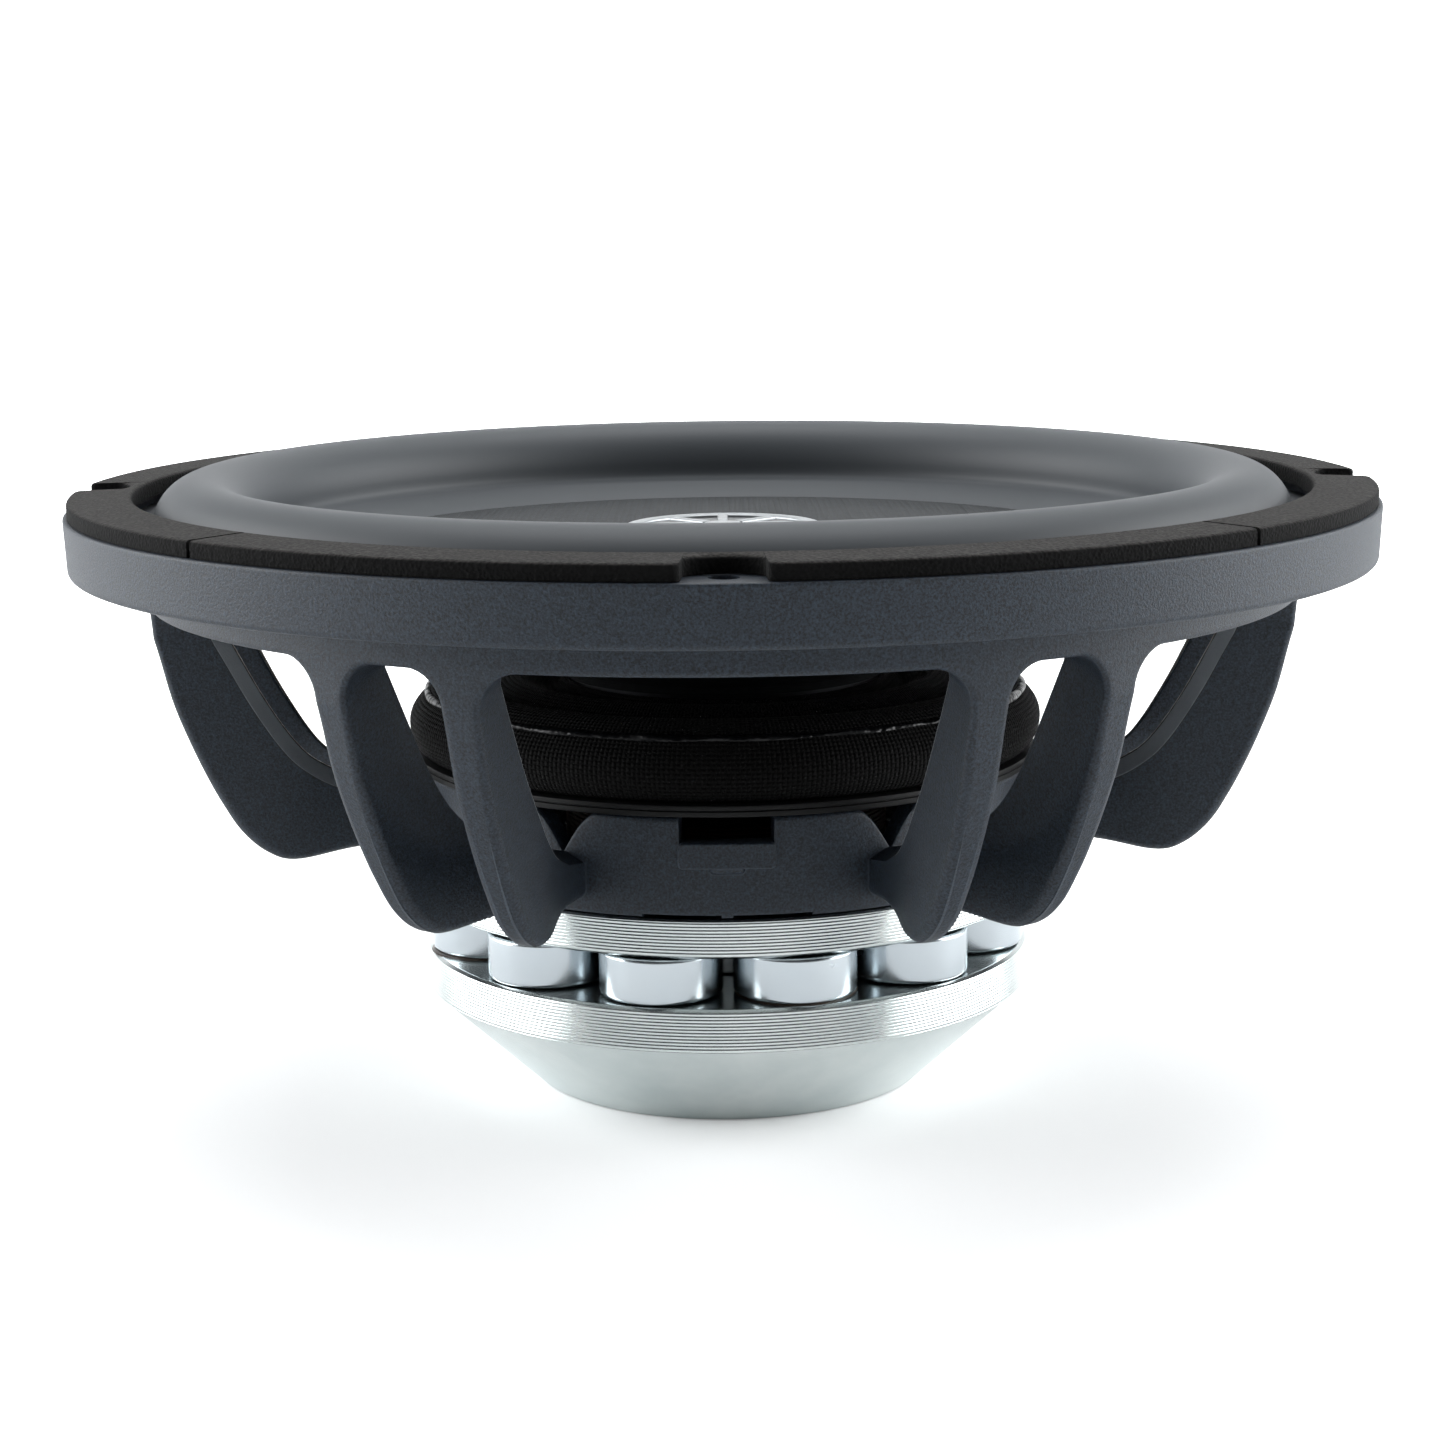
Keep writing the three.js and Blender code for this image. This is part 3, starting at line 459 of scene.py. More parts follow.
# Back plate and top plate: turned mild steel, zinc plated. Each straight edge is left with the tool's
# grooves, and the edges beside the magnets are broken by a smooth chamfer.
def zinc_material(name, tone, rough_low, rough_high):
    """Zinc plate: bright metal with a cool tint, fine turning lines along the part and soft stains."""
    made, tree, shader = new_material(name, Metallic=1.0)
    place = node(tree, "TexCoord").outputs["Object"]
    split = node(tree, "SeparateXYZ", {"Vector": place})
    reach = node(tree, "VectorMath", {0: place}, operation="LENGTH")
    lines = node(tree, "CombineXYZ", {"X": reach.outputs["Value"], "Y": split.outputs["Z"]})
    turning = node(tree, "TexNoise", {"Vector": lines.outputs["Vector"], "Scale": 2600.0, "Detail": 1.0})
    stain = node(tree, "TexNoise", {"Vector": place, "Scale": 38.0, "Detail": 5.0, "Roughness": 0.65})
    tint = node(tree, "ValToRGB", {"Fac": stain.outputs["Fac"]})
    tint.color_ramp.elements[0].position, tint.color_ramp.elements[1].position = 0.3, 0.7
    tint.color_ramp.elements[0].color = linear(tone[0])
    tint.color_ramp.elements[1].color = linear(tone[1])
    rough = node(tree, "MapRange", {"Value": stain.outputs["Fac"],
                                    "To Min": rough_low, "To Max": rough_high})
    scratch = node(tree, "Bump", {"Height": turning.outputs["Fac"], "Strength": 0.1, "Distance": 0.00002})
    tree.links.new(tint.outputs["Color"], shader.inputs["Base Color"])
    tree.links.new(rough.outputs["Result"], shader.inputs["Roughness"])
    tree.links.new(scratch.outputs["Normal"], shader.inputs["Normal"])
    return made


def grooved(radius, low, high, pitch, depth):
    """Outline points up a grooved edge: radius less depth times |cos| of the place in the pitch."""
    count = max(int(round((high - low) / pitch)), 1)
    z = np.linspace(low, high, count * 6 + 1)
    return np.stack([radius - depth * (1 - np.abs(np.sin(np.pi * (z - low) / pitch))), z], axis=1)


PLATE_R = 64.8
GROOVE_PITCH, GROOVE_DEPTH = 0.67, 0.11
zinc = zinc_material("bright zinc plate on turned steel", ("#ccd5d5", "#e4e9e8"), 0.16, 0.28)
back_outline = np.concatenate([
    eased([(12, 0, 0), (13.5, 0, 0.4), (42.2, 0, 0.8), (PLATE_R - 0.05, 21.2, 0)], closed=False),
    grooved(PLATE_R, 21.35, 29.39, GROOVE_PITCH, GROOVE_DEPTH),
    eased([(PLATE_R, 29.45, 0), (PLATE_R - 0.75, 30, 0.15), (36.2, 30, 0.4), (36.2, 8, 0.5),
           (31.8, 8, 0.5), (31.8, 51.4, 1.0), (14.5, 51.4, 0.6), (12, 48.9, 0.6), (12, 0, 0)], closed=False),
])
back_plate = piece("Back_plate", [skin(turned(back_outline, 224))], zinc, crease=50)
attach(back_plate, "frame")
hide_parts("back_plate")

top_outline = np.concatenate([
    eased([(35.4, 40, 0), (63.3, 40, 0.3), (PLATE_R - 0.05, 40.8, 0.2)], closed=False)[:-1],
    grooved(PLATE_R, 40.9, 47.6, GROOVE_PITCH, GROOVE_DEPTH),
    eased([(PLATE_R, 47.8, 0), (PLATE_R - 0.4, 48.2, 0.1), (35.4, 48.2, 0.3), (35.4, 40, 0)],
          closed=False),
])
top_plate = piece("Top_plate", [skin(turned(top_outline, 224))], zinc, crease=50)
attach(top_plate, "frame")
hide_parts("top_plate")

# Magnets: twelve sintered neodymium discs, nickel plated, with tumbled edges. They are glued to both
# plates, and a little amber adhesive is left round the feet of some.
MAGNET_R, MAGNET_CIRCLE_R, MAGNET_COUNT = 12.5, 52.0, 12
nickel, tree, shader, mark = speckled("bright nickel plate", 90.0,
                                      "#b4bdc3", "#cfd6da", detail=4.0, Metallic=1.0, Roughness=0.2)
rough = node(tree, "MapRange", {"Value": mark, "To Min": 0.14, "To Max": 0.34})
tree.links.new(rough.outputs["Result"], shader.inputs["Roughness"])
amber, *_ = speckled("cured amber epoxy", 300.0,
                     "#2c2520", "#5c4c3f", Roughness=0.3, IOR=1.55, Transmission_Weight=0.25)
magnet_outline = eased([
    (0, 30.3, 0), (MAGNET_R, 30.3, 0.9), (MAGNET_R, 39.7, 0.9), (0, 39.7, 0),
], steps=5, closed=False)
for k in range(MAGNET_COUNT):
    a = math.radians(15 + 30 * k)
    centre = (MAGNET_CIRCLE_R * math.sin(a), -MAGNET_CIRCLE_R * math.cos(a))
    magnet = piece(f"Magnet_{k + 1:02d}", [skin(turned(magnet_outline, 72, centre))], nickel)
    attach(magnet, "frame")
    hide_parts(f"magnet_{k + 1:02d}")
spill = []
for k in range(0, MAGNET_COUNT, 3):
    a = 15 + 30 * k
    around = np.linspace(0, 2 * math.pi, 49)
    width = 12.2 + 1.1 * np.clip(np.sin(around - 0.9 + 1.7 * k), 0, 1) * (0.8 + 0.2 * np.sin(5 * around))
    rows = [(0, 30.02), (1, 30.02), (0.985, 30.15), (0.955, 30.35), (0, 30.35)]
    ring_grid = np.stack([
        np.stack([width * s * np.sin(around), -MAGNET_CIRCLE_R - width * s * np.cos(around),
                  z + 0 * around], axis=1)
        for s, z in rows
    ])
    spill.append(skin(rotated(ring_grid, a)))
glue = piece("Magnet_glue", spill, amber)
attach(glue, "frame")

# Shorting ring: a turned aluminium sleeve between the plates, which steadies the field.
aluminium, *_ = speckled("turned aluminium", 400.0, "#a9adb0", "#bfc2c4", Metallic=1.0, Roughness=0.35)
shorting_outline = eased([(36.2, 30.3, 0.3), (38.6, 30.3, 0.3), (38.6, 39.7, 0.3), (36.2, 39.7, 0.3)])
shorting_ring = piece("Shorting_ring", [skin(turned(shorting_outline, 128))], aluminium)
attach(shorting_ring, "frame")
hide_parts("shorting_ring")

# Motor screws: six zinc-plated steel socket screws that hold the basket to the top plate.
steel, *_ = speckled("zinc plated screw steel", 600.0, "#85898c", "#a6aaad", Metallic=1.0, Roughness=0.3)
screw_outline = np.concatenate([
    eased([(0, 42.6, 0), (2.5, 42.6, 0.4), (2.5, 54.3, 0), (4.2, 54.3, 0.2), (4.2, 56.6, 0.8),
           (3.1, 57.7, 0.4), (2.3, 57.7, 0)], closed=False),
    [(2.1, 57.5), (2.1, 55.2), (0, 54.9)],
])
for k in range(6):
    grid = turned(screw_outline, 48)
    side_angle = np.linspace(0, 2 * math.pi, 49) % (math.pi / 3) - math.pi / 6
    hexagon = np.cos(math.pi / 6) / np.cos(side_angle)
    grid[-3:-1, :, :2] *= hexagon[None, :, None]
    grid = rotated(grid + [0, -54.0, 0], 60 * k)
    screw = piece(f"Motor_screw_{k + 1}", [skin(grid)], steel)
    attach(screw, "frame")
    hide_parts(f"motor_screw_{k + 1}")

# Vent screen: woven black wire over the pole's vent, in a rolled rim.
wire, *_ = speckled("black oxide wire", 500.0, "#141516", "#26282a", Metallic=0.6, Roughness=0.5)
WIRE_PITCH, WIRE_R, WIRE_WAVE, SCREEN_R = 1.25, 0.14, 0.12, 11.1
rim_outline = eased([(10.9, 2, 0.2), (11.7, 2, 0.2), (11.7, 2.8, 0.2), (10.9, 2.8, 0.2)])
screen_parts = [skin(turned(rim_outline, 64))]
for k in range(-8, 9):
    offset = WIRE_PITCH * k
    reach = math.sqrt(SCREEN_R ** 2 - offset ** 2)
    along = np.linspace(-reach, reach, 41)
    wave = WIRE_WAVE * np.cos(math.pi * along / WIRE_PITCH + math.pi * k)
    around = np.linspace(0, 2 * math.pi, 7)
    side, up = WIRE_R * np.cos(around)[None, :], WIRE_R * np.sin(around)[None, :]
    run = along[:, None] + 0 * side
    beside = offset + side + 0 * run
    screen_parts.append(skin(np.stack([run, beside, 2.4 + wave[:, None] + up], axis=-1), caps=True))
    screen_parts.append(skin(np.stack([beside, run, 2.4 - wave[:, None] + up], axis=-1), caps=True))
screen = piece("Vent_screen", screen_parts, wire, crease=70, even=False)
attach(screen, "frame")
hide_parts("vent_screen")

# Voice coil: a black anodised aluminium former, wound with two layers of enamelled copper wire.
anodised, *_ = speckled("black anodised aluminium", 260.0,
                        "#1b1c1e", "#2b2d30", Metallic=0.8, Roughness=0.38)
former_outline = eased([(32.6, 24, 0.1), (32.9, 24, 0.1), (32.9, 96, 0.1), (32.6, 96, 0.1)], steps=2)
former = piece("Coil_former", [skin(turned(former_outline, 128))], anodised)
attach(former, "diaphragm")
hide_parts("coil_former")
# Painted shade: the copper is painted dark to stand in for the shade where it shows through the hub's dips.
copper, *_ = speckled("copper wire painted dark for shade", 700.0,
                      "#1d110a", "#3a2415", Metallic=0.4, Roughness=0.6)
wound = grooved(34.6, 28.2, 60.0, 1.06, 0.3)
winding_outline = np.concatenate([[(33.15, 28.1)], wound, [(33.15, 60.1), (33.15, 28.1)]])
winding = piece("Coil_winding", [skin(turned(winding_outline, 112))], copper, crease=60)
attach(winding, "diaphragm")
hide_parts("coil_winding")

# Spider ring: a satin black moulded ring on the hub's rim. The spider is clamped on top of it.
black_plastic, tree, shader, speckle = speckled("moulded black ABS", 900.0,
                                                "#08090a", "#0f1011", Roughness=0.5, IOR=1.3)
skin_bump = node(tree, "Bump", {"Height": speckle, "Strength": 0.12, "Distance": 0.00008})
tree.links.new(skin_bump.outputs["Normal"], shader.inputs["Normal"])
spider_ring_outline = eased([
    (59.6, 69.1, 0.3), (66.4, 69.1, 0.35), (66.4, 70.2, 0.15), (66.0, 70.35, 0.15), (66.4, 70.5, 0.15),
    (66.4, 71.5, 0.35), (59.6, 71.5, 0.3),
], steps=3)
spider_ring = piece("Spider_ring", [skin(turned(spider_ring_outline, 224))], black_plastic)
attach(spider_ring, "frame")
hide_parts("spider_ring")


# Spider: coarse cotton cloth, dipped in resin and hot-pressed into a steep wall and two rolls. It is
# clamped at its edge and glued to the coil former.
def sheet_outline(line, thickness):
    """Closed outline of a wall: the middle line moved half its thickness to each side."""
    way = np.gradient(line, axis=0)
    way /= np.linalg.norm(way, axis=1, keepdims=True)
    out = np.stack([-way[:, 1], way[:, 0]], axis=1) * thickness / 2
    return np.concatenate([line + out, (line - out)[::-1], line[:1] + out[:1]])


def flex(obj):
    """Reads the positions of a round soft part's points; nothing is made from them."""
    place = np.zeros(len(obj.data.vertices) * 3)
    obj.data.vertices.foreach_get("co", place)


def woven(tree, u, v):
    """Height of a plain weave at u, v in threads: |sin| across the thread on top, whose turn it is by
    a chequer, lower where it dives under its neighbour."""
    place = node(tree, "CombineXYZ", {"X": u, "Y": v}).outputs["Vector"]
    turn = node(tree, "TexChecker", {"Vector": place, "Scale": 1.0}).outputs["Fac"]
    waves = []
    for across in (u, v):
        angle = node(tree, "Math", {0: across, 1: math.pi}, operation="MULTIPLY").outputs["Value"]
        wave = node(tree, "Math", {0: angle}, operation="SINE").outputs["Value"]
        waves.append(node(tree, "Math", {0: wave}, operation="ABSOLUTE").outputs["Value"])
    both = node(tree, "Math", {0: waves[0], 1: waves[1]}, operation="MULTIPLY").outputs["Value"]
    top = node(tree, "Mix", {"Factor": turn, 2: waves[0], 3: waves[1]}, data_type="FLOAT").outputs[0]
    return node(tree, "Math", {0: both, 1: top}, operation="ADD").outputs["Value"]


SPIDER_THREAD = 0.95             # mm between threads, a little coarser than real so that it shows
cotton, tree, shader = new_material("resin dipped cotton cloth", Roughness=0.8, IOR=1.22)
split = node(tree, "SeparateXYZ", {"Vector": node(tree, "TexCoord").outputs["UV"]})
threads = [
    node(tree, "Math", {0: split.outputs[axis], 1: 1 / SPIDER_THREAD}, operation="MULTIPLY").outputs[0]
    for axis in ("X", "Y")
]
cloth_height = woven(tree, *threads)
half_height = node(tree, "Math", {0: cloth_height, 1: 0.5}, operation="MULTIPLY")
# Painted shade: the cloth is made nearly pure black, darker than black cloth, to stand in for the shade deep
# in the basket.
tint = node(tree, "ValToRGB", {"Fac": half_height.outputs["Value"]})
tint.color_ramp.elements[0].color = linear("#010101")
tint.color_ramp.elements[1].color = linear("#040404")
raised = node(tree, "Bump", {"Height": cloth_height, "Strength": 0.9, "Distance": 0.0004})
tree.links.new(tint.outputs["Color"], shader.inputs["Base Color"])
tree.links.new(raised.outputs["Normal"], shader.inputs["Normal"])
spider_line = through([
    (60.2, 72.4), (64.6, 72.5), (66.9, 76.4), (66.2, 80.8), (61.6, 85.2), (56.6, 86.4), (51, 83.6),
    (44.8, 87), (38.4, 84), (33.65, 86.2),
], 90)
spider_outline = sheet_outline(spider_line, 0.9)
along = np.concatenate([[0], np.cumsum(np.linalg.norm(np.diff(spider_outline, axis=0), axis=1))])
spider_round = np.linspace(0, 2 * math.pi * 65, 225)
spider_uv = np.stack(np.broadcast_arrays(spider_round[None, :], along[:, None]), axis=-1)
spider = piece("Spider", [skin(turned(spider_outline, 224), uv=spider_uv)], cotton, crease=60, even=False)
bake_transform(spider)
flex(spider)
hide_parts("spider")

# Bead of black rubber cement laid by hand along the spider's shoulder, still glossy.
cement, tree, shader, lump = speckled("glossy black rubber cement", 160.0,
                                      "#050506", "#0d0e10", detail=3.0, Roughness=0.28, IOR=1.3)
uneven = node(tree, "Bump", {"Height": lump, "Strength": 0.9, "Distance": 0.003})
tree.links.new(uneven.outputs["Normal"], shader.inputs["Normal"])
around = np.linspace(0, 2 * math.pi, 289)[None, :]
over = np.linspace(0, 2 * math.pi, 17)[:, None]
fat = 0.85 + 0.25 * np.sin(7 * around) * np.sin(11 * around + 1)
bead_r = 63.4 + fat * np.cos(over)
bead_z = 84.0 + fat * np.sin(over)
bead = piece("Spider_cement", [
    skin(np.stack([bead_r * np.sin(around), -bead_r * np.cos(around), bead_z], axis=-1)),
], cement, even=False)
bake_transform(bead)
flex(bead)

# Cone: pressed black paper pulp with a felted surface, glued to the former at its neck.
pulp, tree, shader, felt = speckled("pressed black paper pulp", 420.0,
                                    "#090a0b", "#141618", detail=5.0, Roughness=0.9, IOR=1.2)
nap = node(tree, "Bump", {"Height": felt, "Strength": 0.5, "Distance": 0.0003})
tree.links.new(nap.outputs["Normal"], shader.inputs["Normal"])
cone_line = through([(33.9, 87.5), (34.6, 90.2), (50, 97.3), (66, 104.2), (82, 110.8), (97.4, 116.3)], 60)
cone = piece("Cone", [skin(turned(sheet_outline(cone_line, 1.2), 224))], pulp, crease=60)
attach(cone, "diaphragm")
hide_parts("cone")

# Dust cap: a shallow dome of woven glass cloth over the cone, painted grey.
CAP_R, CAP_EDGE_Z, CAP_TOP_Z = 84.4, 115.1, 117.0
CAP_THREAD = 1.5                 # mm between threads, about twice as coarse as real so that it shows
glass, tree, shader = new_material("grey woven glass cloth", Roughness=0.7, IOR=1.4)
split = node(tree, "SeparateXYZ", {"Vector": node(tree, "TexCoord").outputs["Object"]})
threads = [
    node(tree, "Math", {0: split.outputs[axis], 1: 1000 / CAP_THREAD}, operation="MULTIPLY").outputs[0]
    for axis in ("X", "Y")
]
cloth_height = woven(tree, *threads)
mottle = node(tree, "TexNoise", {"Vector": node(tree, "TexCoord").outputs["Object"], "Scale": 250.0})
mixed = node(tree, "Math", {0: cloth_height, 1: mottle.outputs["Fac"]}, operation="MULTIPLY")
tint = node(tree, "ValToRGB", {"Fac": mixed.outputs["Value"]})
tint.color_ramp.elements[0].color = linear("#141719")
tint.color_ramp.elements[1].color = linear("#272b2f")
raised = node(tree, "Bump", {"Height": cloth_height, "Strength": 0.6, "Distance": 0.00025})
tree.links.new(tint.outputs["Color"], shader.inputs["Base Color"])
tree.links.new(raised.outputs["Normal"], shader.inputs["Normal"])
cap_r = np.linspace(0, CAP_R - 0.5, 40)
cap_z = CAP_TOP_Z - (CAP_TOP_Z - CAP_EDGE_Z) * np.clip((cap_r - 18) / (CAP_R - 18), 0, 1) ** 1.7
cap_outline = np.concatenate([
    np.stack([cap_r, cap_z], axis=1), [(CAP_R - 0.15, CAP_EDGE_Z - 0.15), (CAP_R, CAP_EDGE_Z - 0.5)],
    [(CAP_R, CAP_EDGE_Z - 2), (CAP_R - 1, CAP_EDGE_Z - 2)],
    np.stack([cap_r - 0.5, cap_z - 1], axis=1)[:0:-1], [(0, CAP_TOP_Z - 1)],
])
cap = piece("Dust_cap", [skin(turned(cap_outline, 192))], glass)
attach(cap, "diaphragm")
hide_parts("dust_cap")

# Cap adhesive: a thin line of black glue in the joint round the cap.
line_outline = eased([
    (84.55, 113.6, 0.1), (86.05, 113.9, 0.2), (85.9, 114.5, 0.3), (84.6, 114.75, 0.2),
], steps=3)
cap_glue = piece("Cap_adhesive", [skin(turned(line_outline, 192))], cement, even=False)
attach(cap_glue, "diaphragm")
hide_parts("cap_adhesive")

# Badge: a plain eight-armed star inside a bright moulded ring, on a dark disc.
dark, *_ = speckled("satin black lacquer", 800.0, "#1a1c1e", "#26282b", Roughness=0.35, IOR=1.5)
disc_outline = eased([(0, 117.2, 0), (18, 117.2, 0.2), (18, 117.8, 0.3), (0, 117.7, 0)], closed=False)
disc = piece("Badge_disc", [skin(turned(disc_outline, 96))], dark)
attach(disc, "diaphragm")
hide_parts("badge_disc")
chrome, *_ = speckled("satin chrome on moulded ABS", 300.0,
                      "#8f9294", "#a3a6a8", Metallic=1.0, Roughness=0.34)
badge_outline = eased([
    (18.3, 117.2, 0.2), (20.9, 117.2, 0.2), (20.9, 118.4, 0.5), (19.6, 118.6, 0.5), (18.3, 118.2, 0.4),
])
badge_ring = piece("Badge_ring", [skin(turned(badge_outline, 128))], chrome)
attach(badge_ring, "diaphragm")
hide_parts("badge_ring")
arm = block(5.4, 1.15, 0.6, [(0, 0.0), (0, 0.4), (0.15, 0.6), (0.5, 0.7)])
arm[..., 0] += 9.9
arms = [skin(rotated(arm + [0, 0, 118.1], 45 * k), caps=True) for k in range(8)]
boss_outline = eased([(0, 118.1, 0), (4, 118.1, 0.1), (4, 118.75, 0.3), (0, 118.8, 0)], closed=False)
star = piece("Badge_star", [*arms, skin(turned(boss_outline, 48))], chrome)
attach(star, "diaphragm")
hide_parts("badge_star")

# Surround: moulded butyl rubber. Its edge is glued in the basket's seat and its flange on the cone, and
# the tall half roll between them lets the cone travel.
ROLL_CENTRE, ROLL_A, ROLL_B, ROLL_SKIN = (109.0, 121.0), 10.2, 10.4, 1.4
rubber, tree, shader = new_material("satin butyl rubber", Roughness=0.5, IOR=1.45)
place = node(tree, "TexCoord").outputs["Object"]
bloom = node(tree, "TexNoise", {"Vector": place, "Scale": 22.0, "Detail": 3.0})
fine = node(tree, "TexNoise", {"Vector": place, "Scale": 1500.0, "Detail": 2.0})
tint = node(tree, "ValToRGB", {"Fac": bloom.outputs["Fac"]})
tint.color_ramp.elements[0].color = linear("#373b3f")
tint.color_ramp.elements[1].color = linear("#414549")
rough = node(tree, "MapRange", {"Value": bloom.outputs["Fac"], "To Min": 0.5, "To Max": 0.58})
matt = node(tree, "Bump", {"Height": fine.outputs["Fac"], "Strength": 0.15, "Distance": 0.00006})
tree.links.new(tint.outputs["Color"], shader.inputs["Base Color"])
tree.links.new(rough.outputs["Result"], shader.inputs["Roughness"])
tree.links.new(matt.outputs["Normal"], shader.inputs["Normal"])


def roll_arc(grow, low, high, count):
    """Upper arc of the roll's ellipse, both half axes less grow, from angle low to high."""
    t = np.linspace(low, high, count)
    return np.stack([
        ROLL_CENTRE[0] + (ROLL_A - grow) * np.cos(t), ROLL_CENTRE[1] + (ROLL_B - grow) * np.sin(t),
    ], axis=1)


surround_outline = np.concatenate([
    [(125.3, 122.2), (125.0, 122.5), (120.6, 122.5), (119.6, 122.7)], roll_arc(0, 0.26, math.pi, 40),
    [(98.72, 120.2), (98.6, 119.6), (98.3, 119.0), (97.7, 118.5), (96.6, 118.1), (86.4, 114.75),
     (86.2, 114.6)],
    [(86.2, 113.6), (97.9, 117.5), (99.6, 118.3), (100.1, 119.4)], roll_arc(ROLL_SKIN, math.pi, 0.1, 28),
    [(118.3, 121.3), (125.3, 121.3), (125.3, 122.2)],
])
surround = piece("Surround", [skin(turned(surround_outline, 288))], rubber, crease=50, even=False)
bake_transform(surround)
flex(surround)
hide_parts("surround")

# Gasket: four arcs die-cut from closed-cell foam, with a U-shaped notch over a bolt hole in the
# middle of each. The knife leaves the edges open-celled. The cut sides are painted dark as shade and the top
# lighter as painted light from above.
GASKET_IN, GASKET_OUT, GASKET_HALF = 122.8, 136.1, 44.78
NOTCH_W, NOTCH_END = 7.4, 126.0
foam, tree, shader = new_material("die-cut closed-cell foam", Roughness=0.95, IOR=1.3)
place = node(tree, "TexCoord").outputs["Object"]
cells = node(tree, "TexVoronoi", {"Vector": place, "Scale": 1400.0})
mottle = node(tree, "TexNoise", {"Vector": place, "Scale": 700.0, "Detail": 4.0, "Roughness": 0.7})
mixed = node(tree, "Math", {0: cells.outputs["Distance"], 1: mottle.outputs["Fac"]}, operation="MULTIPLY")
split = node(tree, "SeparateXYZ", {"Vector": node(tree, "NewGeometry").outputs["Normal"]})
# Painted light and shade: faces turned up take the lit top colour, the others the shaded one.
lit_top = node(tree, "MapRange", {"Value": split.outputs["Z"], "From Min": 0.5, "From Max": 0.95})
shaded_cut_tint = node(tree, "ValToRGB", {"Fac": mixed.outputs["Value"]})
shaded_cut_tint.color_ramp.elements[0].color = linear("#020202")
shaded_cut_tint.color_ramp.elements[1].position = 0.5
shaded_cut_tint.color_ramp.elements[1].color = linear("#080808")
lit_top_tint = node(tree, "ValToRGB", {"Fac": mixed.outputs["Value"]})
lit_top_tint.color_ramp.elements[0].color = linear("#151414")
lit_top_tint.color_ramp.elements[1].position = 0.5
lit_top_tint.color_ramp.elements[1].color = linear("#393735")
tint = node(tree, "Mix", {"Factor": lit_top.outputs["Result"], 6: shaded_cut_tint.outputs["Color"],
                          7: lit_top_tint.outputs["Color"]}, data_type="RGBA")
pores = node(tree, "Bump", {"Height": mixed.outputs["Value"], "Strength": 0.8, "Distance": 0.0004})
tree.links.new(tint.outputs[2], shader.inputs["Base Color"])
tree.links.new(pores.outputs["Normal"], shader.inputs["Normal"])
side_angle = np.linspace(0, math.pi / 2, 10)
half_edge = np.concatenate([
    np.stack([NOTCH_W * 0.96 * np.sin(side_angle), NOTCH_END + 4 * (1 - np.cos(side_angle))], axis=1),
    eased([(NOTCH_W * 0.96, 130.0, 0), (NOTCH_W + 0.1, 135.9, 1.5), (12, 135.55, 0)],
          closed=False, steps=6)[7:-7],
])
edge_angle = np.degrees(np.arctan2(half_edge[:, 0], half_edge[:, 1]))
edge_r = np.hypot(half_edge[:, 0], half_edge[:, 1])
far_angle = np.linspace(edge_angle[-1] + 0.3, GASKET_HALF, 60)
near_half = np.stack([
    np.concatenate([edge_angle, far_angle]),
    np.concatenate([np.minimum(edge_r, GASKET_OUT), 0 * far_angle + GASKET_OUT]),
], axis=1)
columns = np.concatenate([near_half[:0:-1] * [-1, 1], near_half])
gasket_angle, gasket_edge = np.radians(columns[:, 0]), columns[:, 1]
# Rows across the foam: share of the width, millimetres in from the edge, and height.
GASKET_ROWS = np.array([
    (0, 0, 124.7), (1, 0, 124.7), (1, 0, 127.2), (1, 0.1, 127.5), (1, 0.35, 127.75), (1, 0.9, 127.9),
    (0.7, 0, 128.0), (0.4, 0, 128.1), (0, -1.0, 128.2), (0, -0.5, 128.1), (0, -0.15, 127.8),
    (0, 0, 127.3), (0, 0, 124.7),
])
width = (gasket_edge - GASKET_IN)[None, :]
gasket_r = GASKET_IN + GASKET_ROWS[:, :1] * width - GASKET_ROWS[:, 1:2]
gasket_grid = np.stack([
    gasket_r * np.sin(gasket_angle), -gasket_r * np.cos(gasket_angle),
    GASKET_ROWS[:, 2:] + 0 * gasket_r,
], axis=-1).transpose(1, 0, 2)
for k, where in enumerate(("front", "right", "back", "left")):
    gasket = piece(f"Gasket_{where}", [skin(rotated(gasket_grid, 90 * k), caps=True)], foam, crease=55)
    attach(gasket, "frame")
    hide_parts(f"gasket_{where}")

# Terminal panel: moulded black ABS on the back of the ring, with a sprung push button over the wire
# hole of each pole, a brass solder tab behind each button, and two screws up into the casting.
red_plastic, *_ = speckled("moulded red ABS", 700.0, "#8e1616", "#a81f1f", Roughness=0.3, IOR=1.53)
brass, *_ = speckled("tinned brass strip", 350.0, "#a98441", "#c9a65a", Metallic=1.0, Roughness=0.3)
BUTTON_X, BUTTON_Z, TERMINAL_SCREW_X, PANEL_Z = 7.5, 93.5, 15.2, 95.75


def facing_back(grid, x, z):
    """A block() grid stood up to face +Y: across is X, up is Z and depth is Y."""
    return np.stack([x + grid[..., 0], grid[..., 2], z + grid[..., 1]], axis=-1)


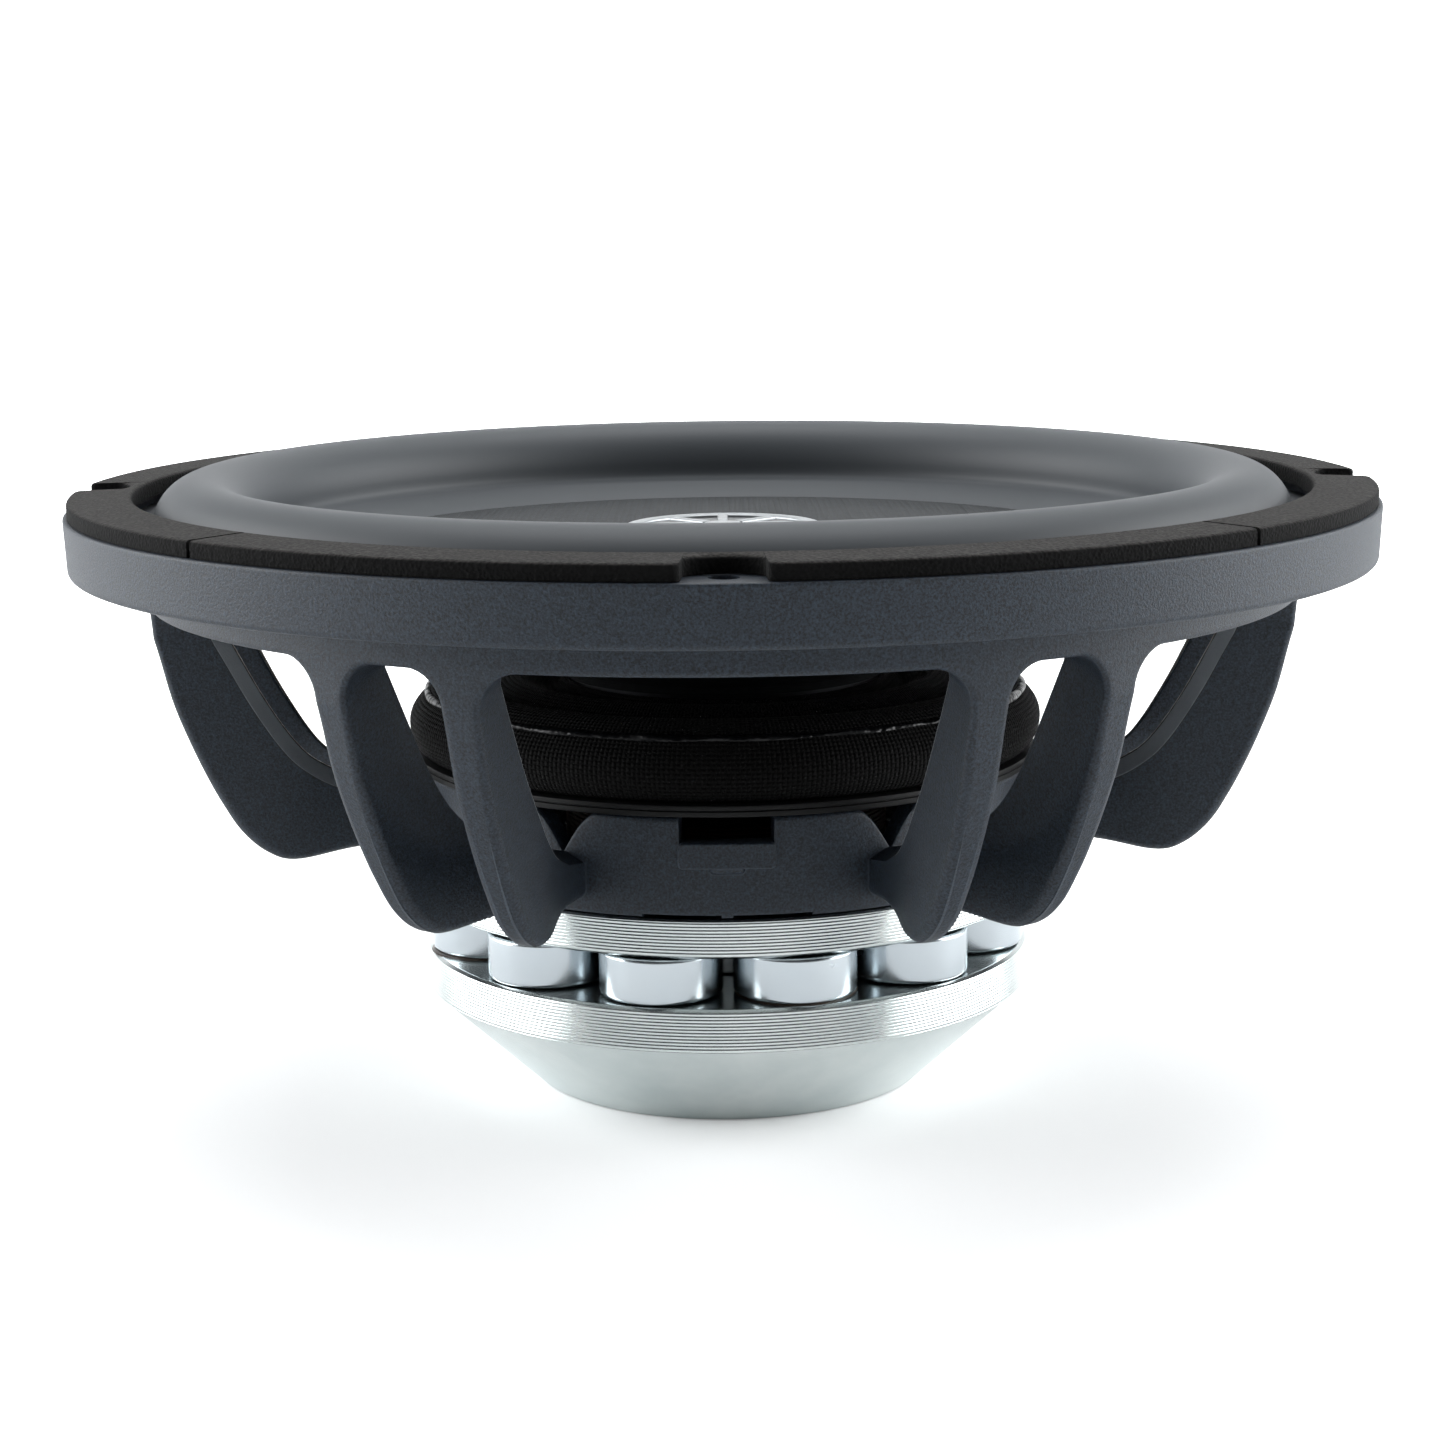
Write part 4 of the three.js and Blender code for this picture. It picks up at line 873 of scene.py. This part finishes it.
panel_body = block(19, 9.75, 2.2, [(0, 110), (0, 119.1), (0.25, 119.7), (0.8, 120)])
panel_parts = [skin(facing_back(panel_body, 0, PANEL_Z), caps=True)]
for x in (-BUTTON_X, BUTTON_X):
    collar = block(5.4, 4.4, 1.2, [(0, 119.6), (0, 120.6), (0.2, 120.9),
                                   (0.8, 120.9), (0.9, 120.6), (0.9, 119.6)])
    panel_parts.append(skin(facing_back(collar, x, BUTTON_Z)))
panel = piece("Terminal_panel", panel_parts, black_plastic)
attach(panel, "frame")
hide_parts("terminal_block")
for name, x, look, pole in (("red", -BUTTON_X, red_plastic, -1), ("black", BUTTON_X, black_plastic, 1)):
    cap_grid = block(4.2, 3.2, 0.8, [(0, 114.4), (0, 123.1), (0.2, 123.7),
                                     (0.7, 124), (1.4, 123.85), (2.2, 123.7)])
    button = piece(f"Terminal_button_{name}", [skin(facing_back(cap_grid, x, BUTTON_Z), caps=True)], look)
    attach(button, f"button_{name}")
    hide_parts(f"terminal_button_{name}")
    tab_grid = block(2.6, 0.4, 0.15, [(0.12, 103.5), (0, 103.7), (0, 112.6)])
    tab = piece(f"Terminal_tab_{name}", [skin(facing_back(tab_grid, x, 100.7), caps=True)], brass)
    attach(tab, "frame")
    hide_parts(f"terminal_tab_{name}")
    head_outline = eased([(0, 85.9, 0), (2.0, 86.0, 0.4), (2.9, 86.9, 0.3), (2.9, 88.4, 0.2),
                          (1.5, 88.6, 0), (1.5, 110.8, 0.2), (0, 110.8, 0)], closed=False)
    head = turned(head_outline, 40, (pole * TERMINAL_SCREW_X, 115))
    holder = piece(f"Terminal_screw_{name}", [skin(head)], steel)
    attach(holder, "frame")
    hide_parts(f"terminal_screw_{name}")

# Tinsel leads: limp copper braid round a cotton core, from each tab to the underside of the cone. A
# slack loop of each hangs free.
LEAD_R = 0.8
braid, tree, shader = new_material("tinsel braid", Metallic=0.9, Roughness=0.35)
place = node(tree, "TexCoord").outputs["UV"]
plait = node(tree, "TexWave", {"Vector": place, "Scale": 0.9}, bands_direction="DIAGONAL")
tint = node(tree, "ValToRGB", {"Fac": plait.outputs["Fac"]})
tint.color_ramp.elements[0].color = linear("#5c3a22")
tint.color_ramp.elements[1].color = linear("#b07a4c")
strand = node(tree, "Bump", {"Height": plait.outputs["Fac"], "Strength": 0.6, "Distance": 0.0002})
tree.links.new(tint.outputs["Color"], shader.inputs["Base Color"])
tree.links.new(strand.outputs["Normal"], shader.inputs["Normal"])
for name, side in (("red", -1), ("black", 1)):
    x = side * BUTTON_X
    path = through([
        (x, 105.5, 99.2), (x, 105, 96.6), (x, 98, 92.2), (x * 0.98, 86, 90.2), (x * 0.95, 73, 90),
        (x * 0.9, 61, 91.4), (x * 0.85, 53, 94), (x * 0.8, 50, 95.6),
    ], 73)
    way = np.gradient(path, axis=0)
    way /= np.linalg.norm(way, axis=1, keepdims=True)
    right = np.cross(way, [1.0, 0, 0])
    right /= np.linalg.norm(right, axis=1, keepdims=True)
    third = np.cross(way, right)
    around = np.linspace(0, 2 * math.pi, 13)[None, :, None]
    tube = path[:, None] + LEAD_R * (np.cos(around) * right[:, None] + np.sin(around) * third[:, None])
    run = np.concatenate([[0], np.cumsum(np.linalg.norm(np.diff(path, axis=0), axis=1))])
    tube_uv = np.stack(np.broadcast_arrays(np.linspace(0, 6, 13)[None, :], run[:, None]), axis=-1)
    lead = piece(f"Lead_{name}", [skin(tube, caps=True, uv=tube_uv)], braid, crease=60, even=False)
    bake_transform(lead)
    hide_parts(f"lead_{name}")
